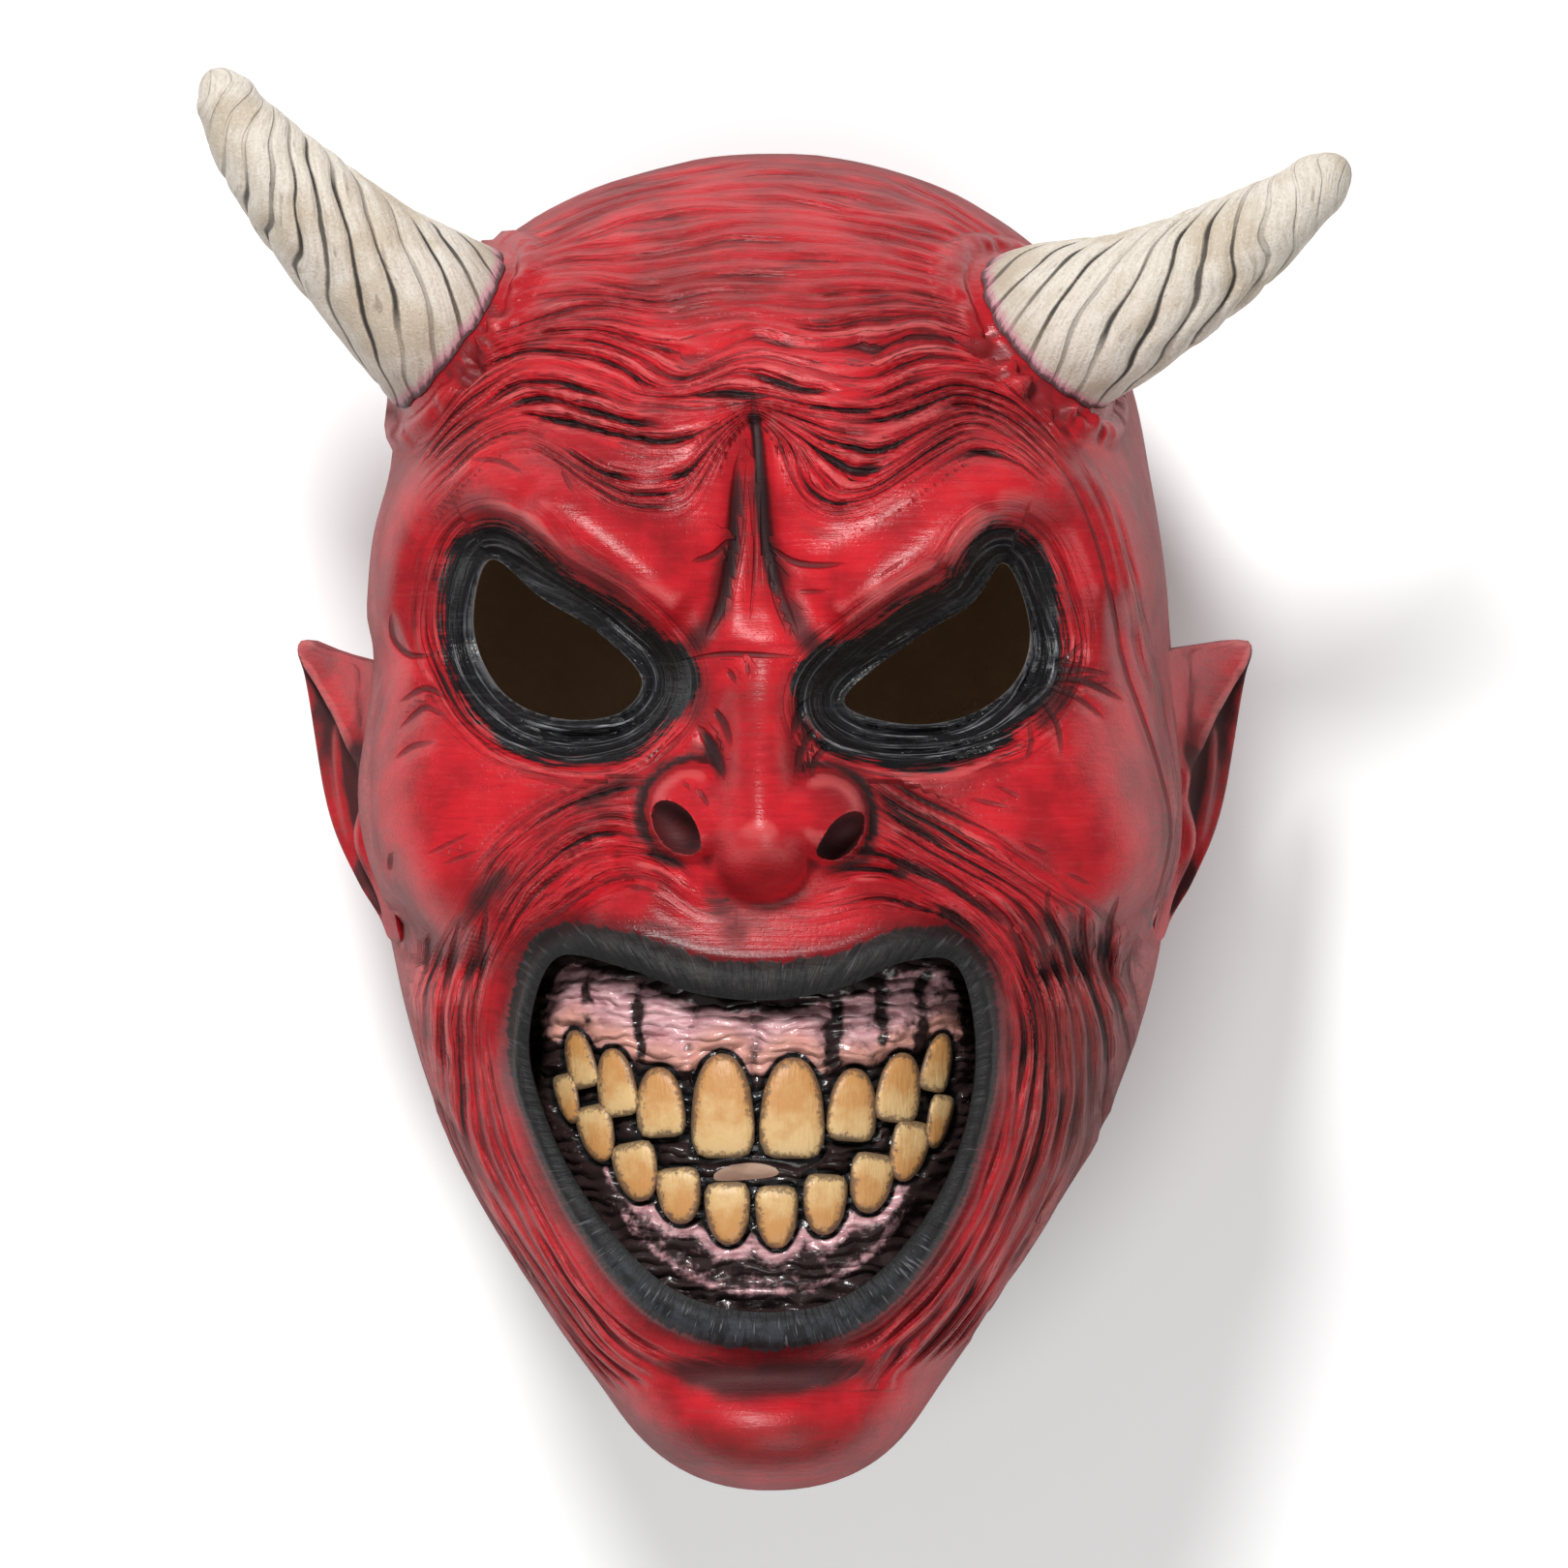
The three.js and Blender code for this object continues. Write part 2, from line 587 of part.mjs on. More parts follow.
// A block that fills all that lies below the trim plane of the neck opening.
function trimBlock() {
  const along = TRIM_NAPE.clone().sub(TRIM_CHIN).normalize();
  const away = along.clone().cross(new THREE.Vector3(1, 0, 0));
  if (away.y > 0) away.negate();
  const size = 600;
  const block = new THREE.BoxGeometry(size, size, size);
  const basis = new THREE.Matrix4().makeBasis(new THREE.Vector3(1, 0, 0), along, away.clone());
  if (basis.determinant() < 0) basis.makeBasis(new THREE.Vector3(-1, 0, 0), along, away.clone());
  block.applyMatrix4(basis);
  const centre = TRIM_CHIN.clone().addScaledVector(away, size / 2);
  block.translate(centre.x, centre.y, centre.z);
  return block;
}

// Assembly

const outerColumns = columnsOf(
  { face: 30, side: 3, back: 14 },
  { faceRows: [8, 37, 5], sideRows: [7, 16, 3], backRows: [5, 8, 3] },
);
const innerColumns = columnsOf(
  { face: 14, side: 2, back: 9 },
  { faceRows: [5, 18, 3], sideRows: [5, 11, 3], backRows: [4, 7, 3] },
);
const outer = solid(headSurface(outerSkin, outerColumns));
const grownBy = (extra) => solid(headSurface((theta, t) => outerSkin(theta, t, extra), outerColumns));
const clearOfHorns = grownBy(GLUE_GAP);
const collarReach = grownBy(COLLAR.height);

const cavity = solid(headSurface(innerSkin, innerColumns)).subtract(solid(mouthPocket(WALL)));
const teeth = [...UPPER_TEETH.map((row) => tooth(row, 1)), ...LOWER_TEETH.map((row) => tooth(row, -1))];
const blindHoles = NOSTRILS.map((hole) => {
  const outline = ellipse(hole, 8);
  return prism(outline, plainZ(hole.x, hole.y) + hole.floor, 300);
});

let skin = outer;
[ear(-1), ear(1), lips(), ...[NOSE_TIP, ...NOSE_WINGS].map(ball)].forEach((geometry) => {
  skin = skin.add(solid(geometry));
});
Object.values(HORNS).forEach((shape) => {
  skin = skin.add(solid(horn(shape, COLLAR.width)).intersect(collarReach));
});
skin = skin.subtract(solid(mouthPocket(0)));
teeth.forEach((geometry) => {
  skin = skin.add(solid(geometry));
});
skin = skin.subtract(cavity);
EYE_OUTLINES.forEach((outline) => {
  skin = skin.subtract(solid(prism(outline, 120, 280)));
});
[...blindHoles, prism(ellipse(SLIT, 10), 150, 300)].forEach((geometry) => {
  skin = skin.subtract(solid(geometry));
});
skin = skin.subtract(solid(trimBlock()));

const mask = new THREE.Group();
Object.entries(HORNS).forEach(([name, shape]) => {
  const socket = solid(horn(shape, GLUE_GAP)).subtract(outer);
  skin = skin.subtract(socket);
  mask.add(meshOf(solid(horn(shape)).subtract(clearOfHorns), name, BONE_LATEX));
});
mask.add(meshOf(skin, "mask_skin", RED_LATEX));

export default mask;
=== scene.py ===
# %% [markdown]
# # A latex devil mask
#
# The mask is one thin hollow casting of latex with two horns glued to it. It lies face up on the back
# of its head, and the camera looks straight down on it. This lesson builds it in the order a maker
# would: the plain head, the broad forms of the face, the folds carved into it, the ears, nose, mouth
# and teeth, then the hollow inside and the holes. The paint comes last.
#
# Everything is worked out in millimetres and turned into metres when a mesh is written.

import math

import bpy
import numpy as np
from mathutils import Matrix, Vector


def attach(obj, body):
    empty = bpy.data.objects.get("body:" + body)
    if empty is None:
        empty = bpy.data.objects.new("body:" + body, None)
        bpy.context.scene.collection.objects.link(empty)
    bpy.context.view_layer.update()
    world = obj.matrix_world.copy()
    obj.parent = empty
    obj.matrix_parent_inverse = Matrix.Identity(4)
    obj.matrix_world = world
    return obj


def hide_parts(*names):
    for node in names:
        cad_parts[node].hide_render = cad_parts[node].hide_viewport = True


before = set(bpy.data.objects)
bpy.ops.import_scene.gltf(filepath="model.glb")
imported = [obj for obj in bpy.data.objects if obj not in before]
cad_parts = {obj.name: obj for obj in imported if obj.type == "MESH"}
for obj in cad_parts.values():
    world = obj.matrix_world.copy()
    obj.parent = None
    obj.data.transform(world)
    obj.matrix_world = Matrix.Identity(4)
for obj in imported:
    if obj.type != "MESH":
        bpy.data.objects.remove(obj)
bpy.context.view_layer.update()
MM = 0.001
print("nodes", sorted(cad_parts))

# %% [markdown]
# ## Shared maths
#
# A sculptor's moves are mostly three curves: a smooth step from one level to another, a bell that
# fades to both sides of a line, and a soft random drift. Each one below works on whole rows of points
# at once, which keeps a mesh of many thousand points quick to shape.

# %% Steps, bells and drifts


def smoothstep(x, low, high):
    s = np.clip((x - low) / (high - low), 0, 1)
    return s * s * (3 - 2 * s)


def bell(x, width):
    return np.exp(-((x / width) ** 2))


def mound(x, y, cx, cy, rx, ry):
    """A bell in two directions at once."""
    return bell(np.hypot((x - cx) / rx, (y - cy) / ry), 1)


def lerp(a, b, s):
    return a + (b - a) * s


def ramp(values, s):
    """The smooth value at share s of a row of equally spaced values that mirrors at its ends."""
    values = np.asarray(values, float)
    last = len(values) - 1
    at = np.clip(s, 0, 1) * last
    i = np.minimum(np.floor(at).astype(int), last - 1)
    f = at - i
    a, b, c, d = (values[last - np.abs(last - np.abs(i + k))] for k in (-1, 0, 1, 2))
    return b + 0.5 * f * (c - a + f * (2 * a - 5 * b + 4 * c - d + f * (3 * (b - c) + d - a)))


def drift(a, b, seed):
    """Smooth noise between -1 and 1, with a new value at every whole step of a and b."""
    table = np.random.default_rng(seed).uniform(-1, 1, (64, 64))
    i, j = np.floor(a).astype(int), np.floor(b).astype(int)
    u, v = smoothstep(a - i, 0, 1), smoothstep(b - j, 0, 1)
    top = lerp(table[i % 64, j % 64], table[(i + 1) % 64, j % 64], u)
    low = lerp(table[i % 64, (j + 1) % 64], table[(i + 1) % 64, (j + 1) % 64], u)
    return lerp(top, low, v)


def turned(x, y, degrees):
    """A place turned about the middle."""
    c, s = math.cos(math.radians(degrees)), math.sin(math.radians(degrees))
    return x * c - y * s, x * s + y * c


# %% [markdown]
# ## Lines drawn on the face
#
# Eye holes, lips and folds all follow drawn lines. A line is a few points with a smooth curve through
# them. `nearest` then says how far any place is from the line, on which side of it, and how far along.

# %% Smooth lines


def smooth_line(points, steps, closed=False):
    """A curve through the points, with as many places on it as there are steps."""
    p = np.asarray(points, float)
    if closed:
        p = np.concatenate([p[-1:], p, p[:2]])
    else:
        p = np.concatenate([[2 * p[0] - p[1]], p, [2 * p[-1] - p[-2]]])
    spans = len(p) - 3
    at = np.linspace(0, spans, steps, endpoint=not closed)
    i = np.minimum(at.astype(int), spans - 1)
    f = (at - i)[:, None]
    a, b, c, d = (p[i + k] for k in range(4))
    gap = [np.sqrt(np.linalg.norm(q - r, axis=1))[:, None] for q, r in ((b, a), (c, b), (d, c))]
    go = ((b - a) / gap[0] - (c - a) / (gap[0] + gap[1]) + (c - b) / gap[1]) * gap[1]
    stop = ((c - b) / gap[1] - (d - b) / (gap[1] + gap[2]) + (d - c) / gap[2]) * gap[1]
    return b + f * (go + f * (3 * (c - b) - 2 * go - stop + f * (2 * (b - c) + go + stop)))


def nearest(x, y, line, closed=False):
    """Distance to a line, the side of it (1 is on the left), and how far along it, 0 to 1."""
    starts = line if closed else line[:-1]
    ends = np.roll(line, -1, axis=0) if closed else line[1:]
    best = np.full(x.shape, 1e9)
    side = np.ones(x.shape)
    along = np.zeros(x.shape)
    for i, (a, b) in enumerate(zip(starts, ends)):
        dx, dy = b - a
        px, py = x - a[0], y - a[1]
        f = np.clip((px * dx + py * dy) / (dx * dx + dy * dy), 0, 1)
        far = (px - f * dx) ** 2 + (py - f * dy) ** 2
        closer = far < best
        best = np.where(closer, far, best)
        side = np.where(closer, np.where(dx * py - dy * px > 0, 1, -1), side)
        along = np.where(closer, (i + f) / len(starts), along)
    return np.sqrt(best), side, along


def length_of(line):
    return np.linalg.norm(np.diff(line, axis=0), axis=1).sum()


# %% [markdown]
# ## The plain head
#
# The head is a stack of rounded cross-sections, each with its own width and depth. The same numbers
# drive the solid model, so the two agree. `place_on_head` turns two angles into a place: one angle goes
# round the head from the middle of the face, the other goes down from crown to chin.

# %% Cross-sections of the head
CROWN_Y, CHIN_Y = 134, -177
MIDDLE_Y, HALF_HEIGHT = (CROWN_Y + CHIN_Y) / 2, (CROWN_Y - CHIN_Y) / 2
WIDTH = [122, 126, 125, 117.5, 104, 97, 95, 92.3, 88, 80, 78.5, 86, 100]
FACE = [118, 118, 118, 122, 120, 106, 104, 108, 105, 107, 116, 138, 150]
BACK = [118, 118, 120, 120, 116, 108.5, 105.5, 103, 106, 100, 98, 100, 110]
WIDEST_Z = [100, 100, 100, 100, 100, 100, 102, 108, 120, 133, 147, 160, 168]
LEAN = [0, -1, -2.5, -2.5, -1, 0, 0, 0.3, -0.5, -1.5, -1, 0, 0]
FACE_ROUNDNESS, BACK_ROUNDNESS = 2.3, 2.1
WALL = 2.5


def place_on_head(theta, t):
    s, step = np.sin(t), t / np.pi
    front = np.cos(theta) >= 0
    half_width = np.maximum(ramp(WIDTH, step) * s, 1e-6)
    depth = np.maximum(np.where(front, ramp(FACE, step), ramp(BACK, step)) * s, 1e-6)
    power = np.where(front, FACE_ROUNDNESS, BACK_ROUNDNESS)
    across = (np.abs(np.sin(theta)) / half_width) ** power
    radius = (across + (np.abs(np.cos(theta)) / depth) ** power) ** (-1 / power)
    x = ramp(LEAN, step) + radius * np.sin(theta)
    y = MIDDLE_Y + HALF_HEIGHT * np.cos(t)
    z = ramp(WIDEST_Z, step) + radius * np.cos(theta)
    return np.stack([x, y, z], axis=-1)


def outward(theta, t):
    """The head's own outward direction at two angles."""
    h = 1e-3
    t = np.clip(t, 2 * h, np.pi - 2 * h)
    across = place_on_head(theta + h, t) - place_on_head(theta - h, t)
    down = place_on_head(theta, t + h) - place_on_head(theta, t - h)
    normal = np.cross(down, across)
    return normal / np.linalg.norm(normal, axis=-1, keepdims=True)


def plain_z(x, y):
    """Height of the plain face over a place on it."""
    t = np.arccos(np.clip((y - MIDDLE_Y) / HALF_HEIGHT, -1, 1))
    step, s = t / np.pi, np.sin(t)
    across = np.minimum(np.abs(x - ramp(LEAN, step)) / (ramp(WIDTH, step) * s), 1)
    round_off = (1 - across**FACE_ROUNDNESS) ** (1 / FACE_ROUNDNESS)
    return ramp(WIDEST_Z, step) + ramp(FACE, step) * s * round_off


# %% [markdown]
# ## Broad forms of the face
#
# Brows, cheeks, sockets and the bridge of the nose are heights added to the plain head. They could be
# sculpted with brushes, but heights from named numbers stay editable and match the solid model.

# %% Eyes, mouth and broad relief
EYES = [
    [(-66, 36.5), (-54, 27.5), (-40, 18.8), (-30.5, 8), (-35, 1.2), (-49, -0.6), (-62.5, 5.2), (-69.8, 20)],
    [(53, 35.5), (46, 26.5), (32, 17.6), (16, 3.2), (30, -1.8), (45, 0.4), (56, 8.5), (59.2, 20)],
]
MOUTH = [
    (-50, -55.5), (-35, -57.5), (-18, -63.5), (-1, -65), (16, -62), (31, -56), (41, -56.5), (46, -72),
    (44, -94), (34, -116), (17, -132.5), (-3, -136.5), (-23, -131.5), (-40, -115), (-52, -94), (-56.5, -74),
]
EYE_CORNERS = [(-22, 9), (11, 9)]
MOUTH_X, MOUTH_Y = -4, -96
EYE_LINES = [smooth_line(points, 96, closed=True) for points in EYES]
MOUTH_LINE = smooth_line(MOUTH, 150, closed=True)
SOCKET_DEPTH, SOCKET_REACH = 10.5, 15

STROKES = [
    ([(-12, 20), (-33, 37), (-54, 50), (-70, 54), (-81, 44), (-84, 28), (-83, 12)], 11, 10),
    ([(8, 20), (30, 33), (45, 45), (58, 53), (70, 49), (76, 34), (77, 18)], 11, 10),
    ([(-5, 72), (-5, 54), (-4, 38), (-3, 24)], 5, -3),
    ([(-31, -30), (-44, -38), (-55, -50), (-64, -66), (-68, -86)], 7, -6.5),
    ([(24, -30), (38, -41), (51, -53), (59, -68), (62, -88)], 7, -6.5),
    ([(-92, -44), (-80, -56), (-68, -60)], 7, -6.5),
    ([(92, -42), (76, -56), (63, -58)], 7, -6.5),
    ([(-19, 23), (-30, 32), (-42, 41), (-55, 49)], 8.5, 3.5),
    ([(11, 22), (22, 31), (34, 40), (48, 47)], 8.5, 3.5),
]
STROKE_LINES = [(smooth_line(points, 40), width, height) for points, width, height in STROKES]
SWELLINGS = [
    (-82, -18, 18, 23, 10.5), (-73, -40, 13, 13, 5), (68, -22, 24, 22, 10.5), (78, -38, 14, 14, 5),
    (-3, -166, 27, 13, 6), (-2, -152, 23, 5.5, -7), (-23, 62, 26, 14, 3), (21, 60, 26, 14, 3),
]
BRIDGE = dict(x=-2, root_y=22, end_y=-36, root_height=5, end_height=22, root_width=8, end_width=17)


def outside(x, y, line):
    """Distance to a closed outline, negative inside it, and how far round it the nearest place is."""
    distance, side, along = nearest(x, y, line, closed=True)
    area = np.cross(line, np.roll(line, -1, axis=0)).sum()
    return distance * side * (-1 if area > 0 else 1), along


def bridge(x, y):
    b = BRIDGE
    share = np.clip((b["root_y"] - y) / (b["root_y"] - b["end_y"]), 0, 1)
    height = lerp(b["root_height"], b["end_height"], share)
    width = lerp(b["root_width"], b["end_width"], share)
    root = 1 - smoothstep(y, b["root_y"] - 6, b["root_y"] + 14)
    return height * bell(x - b["x"], width) * smoothstep(y, b["end_y"] - 8, b["end_y"] + 8) * root


def relief(x, y):
    """Height of the broad forms over the plain head, without the nose."""
    total = np.zeros(x.shape)
    for *place, height in SWELLINGS:
        total = total + height * mound(x, y, *place)
    for line, width, height in STROKE_LINES:
        distance, _, along = nearest(x, y, line)
        ends = smoothstep(along, 0, 0.12) * (1 - smoothstep(along, 0.86, 1))
        total = total + height * bell(distance, width) * lerp(0.35, 1, ends)
    for line in EYE_LINES:
        total = total - SOCKET_DEPTH * (1 - smoothstep(outside(x, y, line)[0], 1, SOCKET_REACH))
    return total


def lip_width(x, y):
    """How wide the lips are in each direction from the middle of the mouth."""
    direction = np.arctan2(y - MOUTH_Y, x - MOUTH_X)
    return 4.4 + 4.4 * np.abs(np.sin(direction)) ** 1.5


# %% [markdown]
# ## Nose
#
# The nose is a ridge that widens into a hooked drop, with a round wing on each side. The ridge follows
# a drawn line with a width and a height at every place, and its section turns from a flat-topped bank
# at the bridge to a full round at the tip. The wings are domes. A soft maximum joins them to the drop,
# which leaves the shallow valleys that a sculptor would press in.

# %% Nose
NOSE_LINE = [(-4.5, 16), (-4, 5), (-3.9, -6), (-3.6, -16), (-3.2, -26), (-3, -32)]
RIDGE_WIDTH = [5, 6.4, 7.8, 10, 12.4, 11]
RIDGE_HEIGHT = [0.5, 6, 11.5, 15.5, 17.5, 16.5]
NOSE_WINGS = [(-18.4, -22, 11, 11.2), (11.2, -23, 10.2, 10.6)]
WING_HEIGHT, WING_BLEND, MOUND_SHARE = 14.5, 5, 0.6


def soft_max(a, b, soft):
    return (a + b + np.sqrt((a - b) ** 2 + soft**2) - soft) / 2


def nose(x, y):
    distance, _, along = nearest(x, y, smooth_line(NOSE_LINE, 40))
    out = distance / ramp(RIDGE_WIDTH, along)
    bank = np.exp(-0.6 * out**4)
    drop = np.clip(1 - out**2.2, 0, 1) ** 0.6
    total = ramp(RIDGE_HEIGHT, along) * lerp(bank, drop, smoothstep(along, 0.4, 0.85))
    for cx, cy, rx, ry in NOSE_WINGS:
        out = np.hypot((x - cx) / rx, (y - cy) / ry)
        total = soft_max(total, WING_HEIGHT * np.clip(1 - out**3, 0, 1) ** 0.42, WING_BLEND)
    return total + MOUND_SHARE * bridge(x, y)


# %% [markdown]
# ## Folds of the skin
#
# The wrinkles of such a mask run in families: across the forehead, over each brow, round the eyes, and
# down from the nose round the mouth to the chin. A family is given here by a few guide lines. Between
# two guides the folds are counted off evenly, so a place on the face gets a number across the family
# and a distance along it. Whole numbers are the bottoms of folds. The same two numbers carve the mesh
# here and draw the fine brush marks in the paint, so both always agree.
#
# Guide lines are drawn as the camera sees the face, so `seen` first looks at each place from above.

# %% Guides of the fold families
CAMERA_X, CAMERA_Y, CAMERA_Z = 2.2, -15.6, 3200
GUIDE_Z = 200

FOREHEAD = [
    [(-70, 108), (-55, 119), (-38, 126), (-15, 130.5), (5, 131.5), (25, 129), (42, 122), (56, 111),
     (66, 100)],
    [(-72, 96), (-58, 105), (-40, 111), (-20, 114), (0, 114.5), (20, 113.5), (38, 110), (54, 102),
     (64, 92)],
    [(-75, 86), (-62, 97), (-45, 102.5), (-25, 104.5), (0, 104), (20, 103), (38, 100.5), (54, 94),
     (64, 84)],
    [(-78, 78), (-64, 89), (-45, 94.5), (-25, 92), (-5, 93), (10, 90.5), (30, 93.5), (48, 89.5),
     (62, 78)],
    [(-80, 66), (-70, 78), (-60, 82.5), (-48, 81.5), (-35, 77.5), (-22, 75.5), (-5, 80), (8, 76),
     (22, 74), (36, 79.5), (50, 79), (60, 71), (70, 58)],
    [(-84, 54), (-78, 63), (-70, 71), (-60, 76), (-50, 74.5), (-40, 71), (-30, 69.5), (-20, 70), (-5, 72),
     (10, 70), (22, 69), (33, 72), (43, 74.5), (52, 72), (60, 66), (70, 54)],
    [(-84, 48), (-76, 58), (-67, 67), (-58, 70.5), (-50, 68), (-42, 65), (-32, 63.5), (-22, 64),
     (-13, 67), (-5, 70.5), (4, 66), (11, 62), (20, 60.5), (28, 61.5), (36, 65.5), (44, 68.5), (52, 67),
     (60, 61), (68, 52)],
    [(-83, 44), (-75, 54), (-66, 63), (-57, 65.5), (-50, 62), (-43, 58), (-34, 54.5), (-26, 54),
     (-19, 57), (-13, 63), (-5, 69), (3, 63), (8, 56), (14, 52.5), (22, 52), (30, 55.5), (38, 60.5),
     (46, 63.5), (54, 61.5), (60, 57), (66, 50)],
    [(-82, 40), (-73, 50), (-64, 58.5), (-56, 60), (-50, 56), (-45, 50), (-38, 45.5), (-30, 43),
     (-22, 43), (-15, 47), (-12, 55), (-9, 64), (-5, 67.5), (-1, 64), (2, 54), (6, 46), (13, 41.5),
     (22, 42.5), (30, 47), (38, 53), (47, 58), (56, 56), (64, 48)],
]
LEFT_JAW = [
    [(-6, -50), (-20, -50), (-34, -48), (-48, -48.5), (-57, -54), (-62.5, -64), (-63, -80), (-59, -96),
     (-53, -110), (-44, -126), (-34, -138), (-22, -145), (-8, -148)],
    [(-14, -36), (-27, -32), (-40, -33), (-51, -37.5), (-59, -44), (-65, -53), (-68, -63), (-69, -76),
     (-66.5, -91), (-61, -106), (-53, -121), (-44, -135), (-33, -146), (-18, -151.5)],
    [(-27, -22), (-38, -22), (-49, -26.5), (-58, -33), (-65, -42), (-70, -52), (-74, -63), (-75.5, -76),
     (-73, -92), (-67, -107), (-59, -121), (-50, -135), (-41, -147), (-30, -157)],
    [(-26, -8), (-38, -12), (-50, -16.5), (-60, -22), (-70, -31), (-78, -43), (-84, -54), (-86, -66),
     (-83, -82), (-78, -96), (-70, -110), (-61, -124), (-52, -137), (-44, -149), (-36, -160)],
]
RIGHT_JAW = [
    [(0, -50), (14, -50), (28, -47.5), (40, -48.5), (48, -56), (51.5, -66), (52, -80), (50.5, -93),
     (46, -105), (39, -118), (31, -130), (21, -140), (6, -147)],
    [(8, -38), (22, -37), (33, -41), (43, -47), (50, -54), (55, -63), (58, -75), (58.5, -88), (56, -101),
     (51, -113), (43, -127), (34, -138), (22, -147), (8, -152)],
    [(20, -26), (30, -31), (41, -38), (50, -45), (57, -53), (62, -62), (66, -73), (67.5, -86), (65, -100),
     (59, -114), (51, -128), (42, -141), (31, -152)],
    [(18, -12), (28, -20), (40, -27), (51, -34), (61, -42), (68, -50), (73, -60), (76.5, -72), (77, -86),
     (73, -99), (66, -112), (58, -125), (49, -138), (40, -150)],
    [(24, -10), (38, -17), (54, -26), (68, -35), (78, -42), (84, -50), (87, -60), (86, -72), (82, -85),
     (77, -97), (70, -109), (61, -123), (52, -136), (44, -148)],
]

RIGHT_SIDE = [
    [(74, 66), (80, 52), (84, 38), (87, 25), (89.5, 12), (92, 0), (94.5, -14), (95, -26), (93, -38),
     (90, -48), (87, -60)],
    [(64, 62), (71, 50), (75, 38), (78, 25), (81, 12), (85, 0), (88, -14), (88.5, -26), (86.5, -37),
     (83, -46), (80, -56)],
]
LEFT_SIDE = [
    [(-85, 10), (-88.5, -2), (-89.5, -16), (-87, -30), (-83.5, -42), (-80.5, -54), (-79, -66)],
    [(-93, 12), (-96, -2), (-96.5, -16), (-94, -30), (-90, -42), (-87, -54), (-85, -66)],
]

# Each family: guides, how many folds lie between them, the strength at each guide, and its seed
FAMILIES = [
    (FOREHEAD, [6, 3, 3, 4, 2, 2, 2.6, 2.6], [0.3, 0.35, 0.5, 0.7, 1, 1.1, 1.1, 1.1, 0.9], 11),
    (LEFT_JAW, [2.2, 2.2, 3.5], [0.5, 0.9, 1, 0.9], 21),
    ([guide[::-1] for guide in RIGHT_JAW], [2.2, 2.5, 3, 2.8], [0.5, 1, 1.2, 1.2, 0.9], 31),
    (RIGHT_SIDE, [2.5], [0.5, 0.8], 35),
    (LEFT_SIDE, [2], [0.6, 0.5], 37),
]
SMOOTH_PLACES = [(-80, -20, 15), (-80, -36, 9), (67, -20, 17), (77, -33, 11), (-5, 38, 9)]
EYE_FOLD_SPACING = 3.3
FOLD_DEPTH, EYE_FOLD_DEPTH = 2.6, 3.2
FOLDED_FROM_Z = (55, 95)
print("folds in each family", [round(sum(counts), 1) for _, counts, _, _ in FAMILIES])


def seen(p):
    """A place as it is seen from the camera, on the level where the guides are drawn."""
    scale = (CAMERA_Z - GUIDE_Z) / (CAMERA_Z - p[..., 2])
    return CAMERA_X + (p[..., 0] - CAMERA_X) * scale, CAMERA_Y + (p[..., 1] - CAMERA_Y) * scale


# %% Counting folds between guides


def family(x, y, guides, counts, strengths):
    """How far along a family's folds each place is, its number across them, and their strength."""
    along, across, strength = np.zeros((3, x.size))
    lines = [smooth_line(guide, 48) for guide in guides]
    reach = np.concatenate(lines)
    low, high = reach.min(axis=0) - 3, reach.max(axis=0) + 3
    near = np.flatnonzero((x > low[0]) & (x < high[0]) & (y > low[1]) & (y < high[1]))
    found = [nearest(x[near], y[near], line) for line in lines]
    first = 0
    for i, count in enumerate(counts):
        past = -found[i][0] * found[i][1]
        short = found[i + 1][0] * found[i + 1][1]
        here = (past >= 0) & (short > 0)
        share = (past / np.maximum(past + short, 1e-6))[here]
        place = near[here]
        share_along = lerp(found[i][2][here], found[i + 1][2][here], share)
        along[place] = share_along * lerp(length_of(lines[i]), length_of(lines[i + 1]), share)
        across[place] = first + share * count
        ends = smoothstep(share_along, 0.01, 0.08) * (1 - smoothstep(share_along, 0.93, 0.99))
        strength[place] = lerp(strengths[i], strengths[i + 1], share) * ends
        if i == 0:
            strength[place] *= smoothstep(share * count, 0.05, 1.2)
        if i == len(counts) - 1:
            strength[place] *= smoothstep((1 - share) * count, 0.15, 1.6)
        first += count
    return along, across, strength


def eye_folds(x, y, line, corner):
    """Rings round an eye hole, weaker at its inner corner, in the same terms as a family."""
    distance, along = outside(x, y, line)
    strength = smoothstep(distance, 0, 1.5) * (1 - smoothstep(distance, 10, 17))
    upper = smoothstep(y, 18, 30)
    strength = strength * (1 - 0.7 * bell(np.hypot(x - corner[0], y - corner[1]), 10))
    return along * length_of(line), distance / EYE_FOLD_SPACING - 0.1, strength * lerp(1, 0.45, upper)


